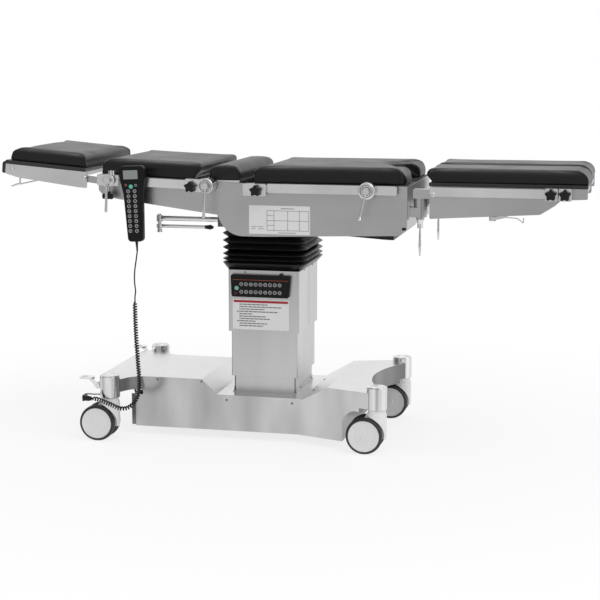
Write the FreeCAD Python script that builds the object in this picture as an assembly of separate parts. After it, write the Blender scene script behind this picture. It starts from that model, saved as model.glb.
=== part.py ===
import FreeCAD, Part
import math
import os

# Operating table on casters: head, back, kidney, seat and two leg sections on a lifting column.
# Frame: X runs from the head (-) to the feet (+), Y across (near long side is -), Z up,
# floor at z = 0, column axis at x = y = 0. All lengths in millimetres, angles in degrees.

Vector = FreeCAD.Vector
NEAR, FAR = -1, 1

# Table top
PAD_HALF = 240.0          # half width of the pads
BOARD_HALF = PAD_HALF - 2             # half width of the boards under them
DECK_Z = 897.0            # top of the boards, where the pads lie
BOARD_T = 12.0
PAD_T = 57.0
PAD_ROUND = 20.0          # rounding of a pad's long top edges
SHEET_T = 3.0             # side panels and casing sheets
FIT = 0.05                # radial clearance of shafts in bores
GAP = 0.3                 # gap between faces that slide or turn on each other
STACK_GAP = 2.0           # gap across Y between nested side plates

# Seat section
SEAT_X0, SEAT_X1 = -16.0, 506.0
NOTCH_HALF, NOTCH_DEPTH = 75.0, 92.0
PANEL_Y = PAD_HALF + 9    # outer face of the seat's side panels
SEAT_BEAM_Y0, SEAT_BEAM_Y1 = PANEL_Y - 84, PANEL_Y - 44
PANEL_X1 = 512.0
HINGE_X, HINGE_Z = -44.0, 807.0      # back hinge axis, centre of the panels' round end
PANEL_R = 89.0
PANEL_FOOT_Z = 733.0
CHAMFER_X, CHAMFER_Z = 27.0, 22.0
BOOT_X = 160.0            # the bottom sheet stops here, clear of the bellows
HINGE_PIN_R = 15.0

# Accessory rails
RAIL_H, RAIL_T = 30.0, 10.0
RAIL_Y = PANEL_Y + 13     # inner face of the rails
RAIL_TOP = 898.0
STANDOFF_R = 9.0
BLOCK_Y = RAIL_Y + 21     # outer face of the lock blocks
KNOB_R, KNOB_T, KNOB_STEM_R = 20.0, 16.0, 5.0
KNOB_DEPTH = 18.0         # length of a knob's screw in its block
SEAT_KNOB = (11.0, 876.0)             # places of the star knobs, x and z
BACK_KNOB = (-217.0, 878.0)
LEG_KNOBS = ((978.0, 882.0), (1022.0, 882.0))

# Round clamps for accessory posts, on the near side
CLAMP1_X, CLAMP1_Z = -505.0, 885.0    # on the back's rail at the head end
CLAMP2_X, CLAMP2_Z = -161.0, 885.0    # on the back's hinge end
CLAMP3_X, CLAMP3_Z = 385.0, 883.0     # on the seat's rail
CLAMP_FACE = RAIL_Y + 38              # outer face of the clamp bodies
CLAMP_POST_Y, CLAMP_POST_R = RAIL_Y + 25, 7.0
LEVER_PIN_R, LEVER_PIN_L = 6.0, 4.5   # pin of a clamp's lever in the clamp body
WING_Y = -RAIL_Y - 17.5               # axis of the wing knob under the head-end clamp

# Kidney bridge
KIDNEY_X0, KIDNEY_X1 = -168.0, -52.0
KIDNEY_BOARD_T = 12.0
KIDNEY_LIFT = 3.0         # the bridge's pad stands this much above its neighbours
POST_X, POST_Y, POST_R = -110.0, 150.0, 12.0
POST_END_Z = 765.0
GUIDE_R = 20.0

# Crank of the kidney bridge
CRANK_Y, CRANK_Z, CRANK_R = -180.0, 764.0, 8.5
CRANK_X0, CRANK_X1 = -360.0, -118.0
GEARBOX_X0 = -146.0
WEB_R, WEB_DROP = 6.0, 48.0
HANDLE_R, HANDLE_DROP, HANDLE_L = 6.0, 27.0, 193.0

# Back section, drawn level, then raised about the hinge
BACK_RAISE = 2.0
BACK_X0, BACK_X1 = -553.0, -190.0
BACK_UNDERCUT = 34.0
BACK_PLATE_Y = PAD_HALF + 1           # inner face of the back's side plates
BACK_END_X = -557.0
BACK_SHEET_X1 = -392.0    # right end of the bottom sheet, clear of the crank
HUB_R = 26.0

# Head section, drawn level, then raised about its hinge
HEAD_RAISE = 2.7
HEAD_HINGE_X, HEAD_HINGE_Z = -611.0, 883.0
HEAD_LENGTH = 281.0
HEAD_PAD_T = 46.0
HEAD_PLATE_Y, HEAD_PLATE_T = PAD_HALF + 1, 5.0
HEAD_PIN_R = 6.0
BRACKET_T = 7.0
BAIL_WIRE_R = 3.0

# Leg sections
LEG_X0, LEG_X1 = 566.0, 1096.0
LEG_GAP = 16.0            # gap between the two leg pads
LEG_PAD_T = 46.0
LEG_BOARD_T = 11.0
LEG_PLATE_X0 = 585.0
LEG_DECK_Z = DECK_Z + 2               # underside of the leg boards
LEG_END_X = LEG_X1 - 4                # foot end of the leg boards and casings
LEG_AXIS_X, LEG_AXIS_Z, LEG_SHAFT_R = 597.0, 872.0, 10.0
SWING_X, SWING_Y = 551.0, PANEL_Y - 31    # vertical axis on which a leg swings out
BARREL_R, SWING_PIN_R = 22.0, 14.0
BRACKET_Z0, BRACKET_Z1 = 795.0, 827.0
BARREL_Z1 = 858.0
ARM_Z1 = 887.0
LEG_INNER_Y = 10.0        # inner side plate of a leg

# Gimbal and bellows
GIMBAL_Z, GIMBAL_SHAFT_R, GIMBAL_BLOCK = 680.0, 15.0, 34.0
FORK_Y0, FORK_Y1, FORK_R = 85.0, 105.0, 26.0
LUG_X0, LUG_X1 = 88.0, 108.0
RING_Z0, RING_T = GIMBAL_Z + 46, 5.0
BELLOWS_HX, BELLOWS_HY, PLEAT = 128.0, 143.0, 22.0
BELLOWS_WALL = 4.0
BELLOWS_SPLIT = GIMBAL_Z - 26         # the lower bellows end and the upper ones start here
LOWER_PLEATS = (0.361, 0.559, 0.817)  # heights of the pleats' tips as shares of the bellows
UPPER_PLEATS = (0.136, 0.472, 0.822)

# Column
COVER_HX, COVER_HY, COVER_T = 126.0, 146.0, 2.0
COVER_ROUND = 6.0
COVER_STEP = 8.0          # each telescoping cover is this much smaller per side
UPPER_Z0, UPPER_Z1 = GIMBAL_Z - 307, GIMBAL_Z - 92
MIDDLE_Z0, MIDDLE_Z1 = 214.0, 433.0
LOWER_Z1 = 375.0
MAST_HALF, MAST_WALL = 62.0, 8.0
MAST_SLIDE = 0.5
INNER_MAST_Z0 = 250.0
HEAD_PLATE_H = 8.0

# Base
BASE_BOTTOM, BASE_TOP, SADDLE_Z = 30.0, 208.0, 156.0
BASE_X0, BASE_HALF = -452.0, 195.0
BASE_END_X = 300.0
BASE_T = 2.0
FLARE_X0 = 131.0
SADDLE_X0, SADDLE_X1 = -155.0, 150.0
SLOPE_LEFT, SLOPE_RIGHT = 56.0, 94.0
EAR_X0 = -575.0
EAR_Z0, FOOT_EAR_Z0 = 163.0, 140.0
FOOT_ARC_X = 361.0
BEAM_Y, BEAM_Z0 = 95.0, 62.0          # inner face and bottom of the frame's long beams
BEAM_FOOT_X = 240.0                   # cross member at the foot end

# Casters
CASTER_HEAD_X, CASTER_HEAD_Y = -514.0, 285.0
CASTER_FOOT_X, CASTER_FOOT_Y = 419.0, 260.0
HOUSING_R, HOUSING_Z0, HOUSING_Z1 = 34.5, 151.0, 227.0
WHEEL_R, WHEEL_W, TRAIL = 62.5, 27.0, 38.0
WHEEL_INNER = 14.0        # inner face of each twin wheel, from the middle
AXLE_R = 6.0
STEM_R = 12.0

# Brake shaft
BRAKE_X, BRAKE_Z, BRAKE_R = -557.0, 186.0, 6.0
BRAKE_LUG = 10.0          # thickness and half height of the lugs that hold it

# Handset and cord
HANDSET_X, HANDSET_TOP = -415.0, 951.0
HANDSET_Y1 = -RAIL_Y - 16
HANDSET_Y0 = HANDSET_Y1 - 24
HANDSET_LEAN = -2.5
HOOK_Z = RAIL_TOP + 13.7              # underside of the hook, on the raised rail
PLUG_X0, PLUG_L, PLUG_Y, PLUG_Z = -592.0, 28.0, -335.0, 152.0
COIL_R, LEAD_R = 8.5, 2.4
COIL_ROUTE = [(-564, -335, 152), (-546, -335, 152), (-528, -337, 148), (-509, -340, 139.5),
              (-487, -343, 129), (-459, -345, 121.5), (-430, -342, 126), (-408, -335, 144),
              (-397, -326, 170), (-395, -318, 199), (-398, -311, 231), (-403, -305, 267),
              (-406, -301, 308), (-410, -299, 353), (-412, -297.5, 401), (-413.5, -296, 447),
              (-414, -295, 490)]
LEAD_ROUTE = [(-414, -295, 490), (-414.2, -294.6, 506), (-411, -293, 525), (-415, -292, 548),
              (-416, -291.5, 575), (-413, -291, 606), (-408, -290, 636), (-404.5, -290, 661.4)]


def span(side, a, b):
    """Y range from |y| = a to |y| = b on one side."""
    return min(side * a, side * b), max(side * a, side * b)


def box(x0, x1, y0, y1, z0, z1):
    return Part.makeBox(x1 - x0, y1 - y0, z1 - z0, Vector(x0, y0, z0))


def rod_x(x0, x1, y, z, r):
    return Part.makeCylinder(r, x1 - x0, Vector(x0, y, z), Vector(1, 0, 0))


def rod_y(x, y0, y1, z, r):
    return Part.makeCylinder(r, y1 - y0, Vector(x, y0, z), Vector(0, 1, 0))


def rod_z(x, y, z0, z1, r):
    return Part.makeCylinder(r, z1 - z0, Vector(x, y, z0), Vector(0, 0, 1))


def cone_between(start, end, r0, r1):
    axis = Vector(*end).sub(Vector(*start))
    if abs(r0 - r1) < 1e-6:
        return Part.makeCylinder(r0, axis.Length, Vector(*start), axis)
    return Part.makeCone(r0, r1, axis.Length, Vector(*start), axis)


def rounded_wire(corners, place):
    """Closed wire of straight edges; a corner (a, b, r) is rounded to radius r."""
    flat = []
    count = len(corners)
    for i in range(count):
        a, b = corners[i][0], corners[i][1]
        r = corners[i][2] if len(corners[i]) > 2 else 0.0
        here = Vector(a, b, 0)
        if r <= 0:
            flat.append((here,))
            continue
        before = Vector(corners[i - 1][0], corners[i - 1][1], 0).sub(here)
        after = Vector(corners[(i + 1) % count][0], corners[(i + 1) % count][1], 0).sub(here)
        before.normalize()
        after.normalize()
        half = before.getAngle(after) / 2
        reach = r / math.tan(half)
        middle = before.add(after)
        middle.normalize()
        start = here.add(before * reach)
        end = here.add(after * reach)
        top = here.add(middle * (r / math.sin(half) - r))
        flat.append((start, top, end))
    edges = []
    for i in range(count):
        this, following = flat[i], flat[(i + 1) % count]
        if len(this) == 3:
            edges.append(Part.Arc(*[place(p) for p in this]).toShape())
        if this[-1].distanceToPoint(following[0]) > 1e-6:
            edges.append(Part.LineSegment(place(this[-1]), place(following[0])).toShape())
    return Part.Wire(edges)


def plate_xz(corners, y0, y1):
    wire = rounded_wire(corners, lambda p: Vector(p.x, y0, p.y))
    return Part.Face(wire).extrude(Vector(0, y1 - y0, 0))


def plate_xy(corners, z0, z1):
    wire = rounded_wire(corners, lambda p: Vector(p.x, p.y, z0))
    return Part.Face(wire).extrude(Vector(0, 0, z1 - z0))


def plate_yz(corners, x0, x1):
    wire = rounded_wire(corners, lambda p: Vector(x0, p.x, p.y))
    return Part.Face(wire).extrude(Vector(x1 - x0, 0, 0))


def fuse(first, *others):
    return first.fuse(list(others)).removeSplitter()


def cut(first, *others):
    return first.cut(list(others))


def turn_y(shape, x, z, angle):
    """A copy turned about the Y axis through (x, z); positive raises the head end."""
    copy = shape.copy()
    copy.rotate(Vector(x, 0, z), Vector(0, 1, 0), angle)
    return copy


def raise_back(shape):
    return turn_y(shape, HINGE_X, HINGE_Z, BACK_RAISE)


def raise_head(shape):
    return raise_back(turn_y(shape, HEAD_HINGE_X, HEAD_HINGE_Z, HEAD_RAISE))


def cushion(side_corners, y0, y1, z0, z1, edge):
    """A pad: its side outline drawn across Y, with rounded long top edges."""
    body = plate_xz(side_corners, y0, y1)
    across = plate_yz([(y0, z0), (y1, z0), (y1, z1, edge), (y0, z1, edge)], -1200, 1200)
    return body.common(across)


# Base and column

def base_plan(inset):
    half = BASE_HALF - inset
    flare = half + (BASE_END_X - FLARE_X0) * flare_slope()
    x0, x1 = BASE_X0 + inset, BASE_END_X - inset
    return [(x0, -half), (FLARE_X0, -half), (x1, -flare), (x1, flare), (FLARE_X0, half), (x0, half)]


def flare_slope():
    return (CASTER_FOOT_Y + 26.0 - BASE_HALF) / (CASTER_FOOT_X - 24.0 - FLARE_X0)


def base_side(drop):
    top, saddle = BASE_TOP - drop, SADDLE_Z - drop
    bottom = BASE_BOTTOM - drop * 10
    return [(-700, bottom), (-700, top), (SADDLE_X0 - SLOPE_LEFT, top), (SADDLE_X0, saddle, 6),
            (SADDLE_X1, saddle, 6), (SADDLE_X1 + SLOPE_RIGHT, top), (700, top), (700, bottom)]


def head_ear_plan(inset):
    half = BASE_HALF - inset
    x0 = EAR_X0 + inset
    near = [(-400, half), (-452, half, 70), (-486, 262 - inset), (CASTER_HEAD_X, CASTER_HEAD_Y),
            (-544, 262 - inset), (x0, 225, 20)]
    return near + [(c[0], -c[1]) + tuple(c[2:]) for c in reversed(near)]


def foot_ear_plan(inset):
    x0 = 200.0
    half = BASE_HALF - inset + (x0 - FLARE_X0) * flare_slope()
    reach_x = CASTER_FOOT_X - 24.0
    reach = BASE_HALF - inset + (reach_x - FLARE_X0) * flare_slope()
    tip_x, tip_y = CASTER_FOOT_X + 20.0, CASTER_FOOT_Y - 26.0
    points = [Vector(x0, -half, 0), Vector(reach_x, -reach, 0), Vector(CASTER_FOOT_X, -CASTER_FOOT_Y, 0),
              Vector(tip_x, -tip_y, 0)]
    back = [Vector(p.x, -p.y, 0) for p in reversed(points)]
    edges = [Part.LineSegment(points[i], points[i + 1]).toShape() for i in range(len(points) - 1)]
    arc = Part.Arc(points[-1], Vector(FOOT_ARC_X - inset, 0, 0), back[0]).toShape()
    edges.append(arc)
    edges += [Part.LineSegment(back[i], back[i + 1]).toShape() for i in range(len(back) - 1)]
    edges.append(Part.LineSegment(back[-1], points[0]).toShape())
    return Part.Face(Part.Wire(edges))


def base_block(inset):
    """The base's outline as a solid, drawn in by inset all round; the shell is their difference."""
    side = plate_xz(base_side(inset), -400, 400)
    low = BASE_BOTTOM - inset * 10
    body = plate_xy(base_plan(inset), low, BASE_TOP + 5)
    drop = 0 if inset == 0 else 20
    head_ear = plate_xy(head_ear_plan(inset), EAR_Z0 - drop, BASE_TOP + 5)
    foot_ear = foot_ear_plan(inset)
    foot_ear.translate(Vector(0, 0, FOOT_EAR_Z0 - drop))
    foot_ear = foot_ear.extrude(Vector(0, 0, BASE_TOP + 5 - FOOT_EAR_Z0 + drop))
    return body.fuse([head_ear, foot_ear]).common(side)


def caster_places():
    """Name, swivel axis x and y of the four casters."""
    return [("head_near", CASTER_HEAD_X, -CASTER_HEAD_Y), ("head_far", CASTER_HEAD_X, CASTER_HEAD_Y),
            ("foot_near", CASTER_FOOT_X, -CASTER_FOOT_Y), ("foot_far", CASTER_FOOT_X, CASTER_FOOT_Y)]


def brake_lug_y(side, gap=0):
    """Y range of the lug that holds the brake shaft, widened by gap."""
    outer = CASTER_HEAD_Y - 16
    return span(side, outer - BRAKE_LUG - gap, outer + gap)


def base_cover():
    shell = base_block(0).cut(base_block(BASE_T))
    tools = [rod_z(x, y, 100, 260, HOUSING_R) for _, x, y in caster_places()]
    for side in (NEAR, FAR):
        well = rod_z(CASTER_FOOT_X, side * CASTER_FOOT_Y, 0, 132, 113)
        tools.append(well.makeFillet(40, [e for e in well.Edges if abs(e.CenterOfMass.z - 132) < 1]))
        tools.append(rod_z(CASTER_FOOT_X, side * CASTER_FOOT_Y, 100, HOUSING_Z0 + 2, 60))
        y0, y1 = span(side, 225, 280)
        tools.append(box(BRAKE_X - 9, BRAKE_X + 9, y0, y1, EAR_Z0 - 5, BRAKE_Z + 9))
        y0, y1 = brake_lug_y(side, 1)
        half = BRAKE_LUG + 1
        tools.append(box(BRAKE_X - 12, CASTER_HEAD_X, y0, y1, BRAKE_Z - half, BRAKE_Z + half))
    tools.append(box(-MAST_HALF - 1, MAST_HALF + 1, -MAST_HALF - 1, MAST_HALF + 1, 140, 170))
    return cut(shell, *tools)


def base_frame():
    parts = []
    beam_z1, arm_z0, arm_z1 = 130.0, 168.0, 200.0
    for side in (NEAR, FAR):
        y0, y1 = span(side, BEAM_Y, BEAM_Y + 50)
        parts.append(box(-440, 290, y0, y1, BEAM_Z0, beam_z1))
        parts.append(box(-530, -380, y0, y1, arm_z0, arm_z1))
        parts.append(box(-440, -380, y0, y1, beam_z1, arm_z0))
        parts.append(box(238, 345, y0, y1, arm_z0, arm_z1))
        parts.append(box(230, 290, y0, y1, beam_z1, arm_z0))
        arm = [(296, side * 215), (345, side * 190), (CASTER_FOOT_X + 12, side * (CASTER_FOOT_Y - 10)),
               (CASTER_FOOT_X - 20, side * (CASTER_FOOT_Y + 12))]
        parts.append(plate_xy(arm, arm_z0, arm_z1))
    reach = CASTER_HEAD_Y - 6
    parts.append(box(CASTER_HEAD_X - 19, CASTER_HEAD_X + 19, -reach, reach, arm_z0, arm_z1))
    parts.append(box(300, 345, -215, 215, arm_z0, arm_z1))
    parts.append(box(-110, 110, -145, 145, beam_z1, SADDLE_Z - BASE_T - GAP))
    for x in (-430, BEAM_FOOT_X):
        parts.append(box(x, x + 40, -BEAM_Y - 50, BEAM_Y + 50, BEAM_Z0, BEAM_Z0 + 40))
    frame = fuse(*parts)
    tools = [rod_z(x, y, 100, 260, HOUSING_R) for _, x, y in caster_places()]
    tools.append(box(-MAST_HALF, MAST_HALF, -MAST_HALF, MAST_HALF, 60, 170))
    return cut(frame, *tools)


def power_unit():
    """Battery and motor pump between the frame's beams."""
    battery = box(-360, -190, -BEAM_Y + GAP, BEAM_Y - GAP, BEAM_Z0, 150)
    pump = fuse(box(150, BEAM_FOOT_X - GAP, -60, 60, BEAM_Z0, 130), rod_x(110, 150, 0, 96, 30))
    return [battery, pump]


def caster_housings():
    """Four cylinders that hold the caster stems, the head ones with lugs for the brake shaft."""
    out = []
    for name, x, y in caster_places():
        body = rod_z(x, y, HOUSING_Z0, HOUSING_Z1, HOUSING_R)
        top = [e for e in body.Edges if abs(e.CenterOfMass.z - HOUSING_Z1) < 1]
        body = body.makeFillet(3, top)
        if "head" in name:
            side = 1 if y > 0 else -1
            y0, y1 = brake_lug_y(side)
            lug = box(BRAKE_X - BRAKE_LUG, x, y0, y1, BRAKE_Z - BRAKE_LUG, BRAKE_Z + BRAKE_LUG)
            body = cut(fuse(body, lug), rod_y(BRAKE_X, y0 - 5, y1 + 5, BRAKE_Z, BRAKE_R + FIT))
        stem = rod_z(x, y, HOUSING_Z0 - 1, HOUSING_Z1 - 20, STEM_R + FIT)
        out.append(cut(body, stem))
    return out


def socket_bracket():
    """Angle on the near head housing with the collar that holds the cord's plug."""
    x = CASTER_HEAD_X
    y = -CASTER_HEAD_Y
    bar_z1 = PLUG_Z + 12
    bar = box(PLUG_X0 - 3, x - 20, y - 26, y - 12, bar_z1 - 4, bar_z1)
    collar = rod_x(PLUG_X0 - 3, PLUG_X0, PLUG_Y, PLUG_Z, 11)
    tab = box(PLUG_X0 - 3, PLUG_X0, PLUG_Y - 6, y - 12, PLUG_Z, bar_z1)
    return cut(fuse(bar, collar, tab), rod_z(x, y, 100, 260, HOUSING_R))


def rectangle(half_x, half_y, corner):
    return [(-half_x, -half_y, corner), (half_x, -half_y, corner), (half_x, half_y, corner),
            (-half_x, half_y, corner)]


def square_cover(half_x, half_y, z0, z1, wall, corner):
    outer = plate_xy(rectangle(half_x, half_y, corner), z0, z1)
    inner = rectangle(half_x - wall, half_y - wall, corner - wall)
    return cut(outer, plate_xy(inner, z0 - 1, z1 + 1))


def guide_strips(half_x, half_y, z0, thickness):
    """Four sliding strips inside the foot of a cover."""
    strips = []
    for side in (-1, 1):
        a0, a1 = span(side, half_x - thickness, half_x)
        strips.append(box(a0, a1, -20, 20, z0 + 4, z0 + 34))
        b0, b1 = span(side, half_y - thickness, half_y)
        strips.append(box(-20, 20, b0, b1, z0 + 4, z0 + 34))
    return strips


def column_cover(steps, z0, z1):
    """Telescoping cover: steps counts the covers outside it."""
    hx, hy = COVER_HX - steps * COVER_STEP, COVER_HY - steps * COVER_STEP
    shell = square_cover(hx, hy, z0, z1, COVER_T, COVER_ROUND)
    if steps == 2:
        foot = square_cover(hx + 5.5, hy + 5.5, SADDLE_Z, SADDLE_Z + 3, 8, 8)
        return fuse(shell, foot)
    strips = guide_strips(hx - COVER_T, hy - COVER_T, z0, COVER_STEP - COVER_T - GAP)
    shell = fuse(shell, *strips)
    if steps == 0:
        lid = box(-hx + 5, hx - 5, -hy + 5, hy - 5, z1 - COVER_T, z1)
        lid = fuse(lid, square_cover(hx, hy, z1 - COVER_T, z1, 7, COVER_ROUND))
        shell = fuse(shell, lid)
        shell = cut(shell, box(-70, 70, -115, 115, z1 - 10, z1 + 5))
    return shell


def outer_mast():
    h, w = MAST_HALF, MAST_WALL
    tube = box(-h, h, -h, h, 130, LOWER_Z1 - 2)
    return cut(tube, box(-h + w, h - w, -h + w, h - w, 100, 400))


def inner_mast():
    """Sliding mast with the head plate and the fork that carries the gimbal."""
    h = MAST_HALF - MAST_WALL - MAST_SLIDE
    top = UPPER_Z1 - COVER_T
    tube = cut(box(-h, h, -h, h, INNER_MAST_Z0, top - 2), box(-h + 9, h - 9, -h + 9, h - 9, 200, top - 12))
    hx, hy = COVER_HX - COVER_T - GAP, COVER_HY - COVER_T - GAP
    plate = plate_xy(rectangle(hx, hy, COVER_ROUND - COVER_T + 1), top - HEAD_PLATE_H, top)
    parts = [tube, plate]
    for side in (NEAR, FAR):
        y0, y1 = span(side, FORK_Y0, FORK_Y1)
        cheek = [(-44, top - 1), (44, top - 1), (FORK_R, GIMBAL_Z - 30, 30),
                 (FORK_R, GIMBAL_Z + FORK_R, 25.9), (-FORK_R, GIMBAL_Z + FORK_R, 25.9),
                 (-FORK_R, GIMBAL_Z - 30, 30)]
        parts.append(plate_xz(cheek, y0, y1))
    bores = [rod_y(0, -120, 120, GIMBAL_Z, GIMBAL_SHAFT_R + FIT)]
    return cut(fuse(*parts), *bores)


def control_panel():
    """Key panel on the near face of the upper cover."""
    y0, y1 = -COVER_HY - 12, -COVER_HY
    z0, z1 = UPPER_Z1 - 92, UPPER_Z1 - 14
    return plate_xz([(-111, z0, 8), (92, z0, 8), (99, z1, 8), (-114, z1, 8)], y0, y1)


def bellows(z0, z1, shares):
    """Rectangular pleated boot between z0 and z1 with a pleat at each share of its height."""
    tips = [z0 + share * (z1 - z0) for share in shares]
    levels = [(z0, 0.0)]
    for i, tip in enumerate(tips):
        levels.append((tip, PLEAT))
        top = z1 if i == len(tips) - 1 else (tip + tips[i + 1]) / 2
        levels.append((top, 0.0))
    wires = []
    for z, out in levels:
        ring = rectangle(BELLOWS_HX + out, BELLOWS_HY + out, 10 + out)
        wires.append(rounded_wire(ring, lambda p, z=z: Vector(p.x, p.y, z)))
    outer = Part.makeLoft(wires, True, True)
    inner_x, inner_y = BELLOWS_HX - BELLOWS_WALL, BELLOWS_HY - BELLOWS_WALL
    return cut(outer, box(-inner_x, inner_x, -inner_y, inner_y, z0 - 5, z1 + 5))


def gimbal_cross():
    b = GIMBAL_BLOCK
    block = box(-b, b, -b, b, GIMBAL_Z - 28, GIMBAL_Z + 28)
    block = block.makeChamfer(8, block.Edges)
    along = rod_x(-LUG_X1 + 1, LUG_X1 - 1, 0, GIMBAL_Z, GIMBAL_SHAFT_R)
    across = rod_y(0, -FORK_Y1 + 1, FORK_Y1 - 1, GIMBAL_Z, GIMBAL_SHAFT_R)
    return fuse(block, along, across)


# Seat section

def panel_foot_z(x):
    """Height of the seat panels' lower edge, which rises toward the foot end."""
    start = HINGE_X + 60
    rise = (PANEL_FOOT_Z - HINGE_Z + PANEL_R) / (PANEL_X1 - CHAMFER_X - start)
    return HINGE_Z - PANEL_R + rise * (x - start)


def seat_casing():
    """Side panels with a round head end, joined by the bottom and foot-end sheets."""
    top, low = HINGE_Z + PANEL_R, HINGE_Z - PANEL_R
    left, knee = HINGE_X - PANEL_R, PANEL_X1 - CHAMFER_X
    outline = [(left, low, PANEL_R - 0.2), (HINGE_X + 60, low), (knee, PANEL_FOOT_Z),
               (PANEL_X1, PANEL_FOOT_Z + CHAMFER_Z), (PANEL_X1, top), (left, top, PANEL_R - 0.2)]
    parts = []
    for side in (NEAR, FAR):
        y0, y1 = span(side, PANEL_Y - SHEET_T, PANEL_Y)
        parts.append(plate_xz(outline, y0, y1))
    t = SHEET_T
    strip = [(BOOT_X, panel_foot_z(BOOT_X)), (knee, PANEL_FOOT_Z), (PANEL_X1, PANEL_FOOT_Z + CHAMFER_Z),
             (PANEL_X1, top - 2), (PANEL_X1 - t, top - 2), (PANEL_X1 - t, PANEL_FOOT_Z + CHAMFER_Z + 1.4),
             (knee - 1, PANEL_FOOT_Z + t), (BOOT_X, panel_foot_z(BOOT_X) + t)]
    parts.append(plate_xz(strip, -PANEL_Y + 1, PANEL_Y - 1))
    return fuse(*parts)


def seat_frame():
    """Welded frame: side beams, gimbal lugs, hinge cheeks, kidney guides and bellows ring."""
    top = DECK_Z - BOARD_T
    parts = []
    for side in (NEAR, FAR):
        y0, y1 = span(side, SEAT_BEAM_Y0, SEAT_BEAM_Y1)
        parts.append(box(-130, 509, y0, y1, top - 40, top))
        c0, c1 = span(side, SEAT_BEAM_Y1, SEAT_BEAM_Y1 + 11)
        cheek = [(HINGE_X - 30, top), (HINGE_X + 30, top), (HINGE_X + 24, HINGE_Z - 24, 23.9),
                 (HINGE_X - 24, HINGE_Z - 24, 23.9)]
        parts.append(plate_xz(cheek, c0, c1))
        p0, p1 = span(side, SEAT_BEAM_Y1 - 10, PANEL_Y - SHEET_T)
        parts.append(rod_y(HINGE_X, p0, p1, HINGE_Z, HINGE_PIN_R))
        parts.append(rod_z(POST_X, side * POST_Y, POST_END_Z + 10, top, GUIDE_R))
        for x in (-LUG_X1, LUG_X0):
            s0, s1 = span(side, 144, 152)
            parts.append(box(x, x + 20, s0, s1, RING_Z0 + 1, top - 30))
        w0, w1 = span(side, 150, PANEL_Y - SHEET_T)
        parts.append(box(240, 270, w0, w1, top - 30, top - 8))
        parts.append(box(470, 509, w0, w1, top - 30, top - 8))
    for x in (-LUG_X1, LUG_X0):
        lug = [(-28, GIMBAL_Z - FORK_R, 25.9), (28, GIMBAL_Z - FORK_R, 25.9), (28, top - 85, 20),
               (60, top - 39), (60, top - 1), (-60, top - 1), (-60, top - 39), (-28, top - 85, 20)]
        parts.append(plate_yz(lug, x, x + 20))
        parts.append(box(x, x + 20, -SEAT_BEAM_Y1, SEAT_BEAM_Y1, top - 32, top))
    parts.append(box(-130, -90, 5 - SEAT_BEAM_Y1, SEAT_BEAM_Y1 - 5, top - 14, top))
    parts.append(box(470, 509, -SEAT_BEAM_Y1, SEAT_BEAM_Y1, top - 40, top))
    ring = cut(box(-132, 132, -152, 152, RING_Z0, RING_Z0 + RING_T),
               box(-120, 120, -135, 135, RING_Z0 - 1, RING_Z0 + RING_T + 1))
    parts.append(ring)
    frame = fuse(*parts)
    bores = [rod_x(-130, 130, 0, GIMBAL_Z, GIMBAL_SHAFT_R + FIT)]
    for side in (NEAR, FAR):
        bores.append(rod_z(POST_X, side * POST_Y, 700, 900, POST_R + FIT))
    return cut(frame, *bores)


def seat_outline(x0, x1, half, depth):
    """Plan of the seat board and pad: a rectangle with a rounded notch at the foot end."""
    tip = x1 - depth
    return [(x0, -half, 15), (x1, -half, 30), (x1, -NOTCH_HALF, 30), (tip, -NOTCH_HALF, NOTCH_HALF - 1),
            (tip, NOTCH_HALF, NOTCH_HALF - 1), (x1, NOTCH_HALF, 30), (x1, half, 30), (x0, half, 15)]


def seat_board():
    plan = seat_outline(SEAT_X0 + 2, PANEL_X1 - SHEET_T - 1, BOARD_HALF, NOTCH_DEPTH)
    return plate_xy(plan, DECK_Z - BOARD_T, DECK_Z)


def seat_pad():
    plan = plate_xy(seat_outline(SEAT_X0, SEAT_X1, PAD_HALF, NOTCH_DEPTH), DECK_Z, DECK_Z + PAD_T)
    side = [(SEAT_X0, DECK_Z), (SEAT_X1, DECK_Z), (SEAT_X1, DECK_Z + PAD_T, 30),
            (SEAT_X0, DECK_Z + PAD_T, 26)]
    return plan.common(cushion(side, -PAD_HALF, PAD_HALF, DECK_Z, DECK_Z + PAD_T, PAD_ROUND))


def rail(side, x0, x1, standoffs, wall):
    """Flat accessory rail with rounded ends on round stand-offs from the wall at |y| = wall."""
    y0, y1 = span(side, RAIL_Y, RAIL_Y + RAIL_T)
    corners = [(x0, RAIL_TOP - RAIL_H, 6), (x1, RAIL_TOP - RAIL_H, 6), (x1, RAIL_TOP, 6), (x0, RAIL_TOP, 6)]
    bar = plate_xz(corners, y0, y1)
    s0, s1 = span(side, wall, RAIL_Y)
    posts = [rod_y(x, s0, s1, RAIL_TOP - RAIL_H / 2, STANDOFF_R) for x in standoffs]
    return fuse(bar, *posts)


def lock_block(side, x0, x1, z0, z1, wall, knob_x, knob_z):
    """Block with the threaded hole of a star knob."""
    y0, y1 = span(side, wall, BLOCK_Y)
    body = plate_xz([(x0, z0, 5), (x1, z0, 5), (x1, z1, 5), (x0, z1, 5)], y0, y1)
    h0, h1 = span(side, BLOCK_Y - KNOB_DEPTH - 2, BLOCK_Y + 1)
    return cut(body, rod_y(knob_x, h0, h1, knob_z, KNOB_STEM_R + FIT))


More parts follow.
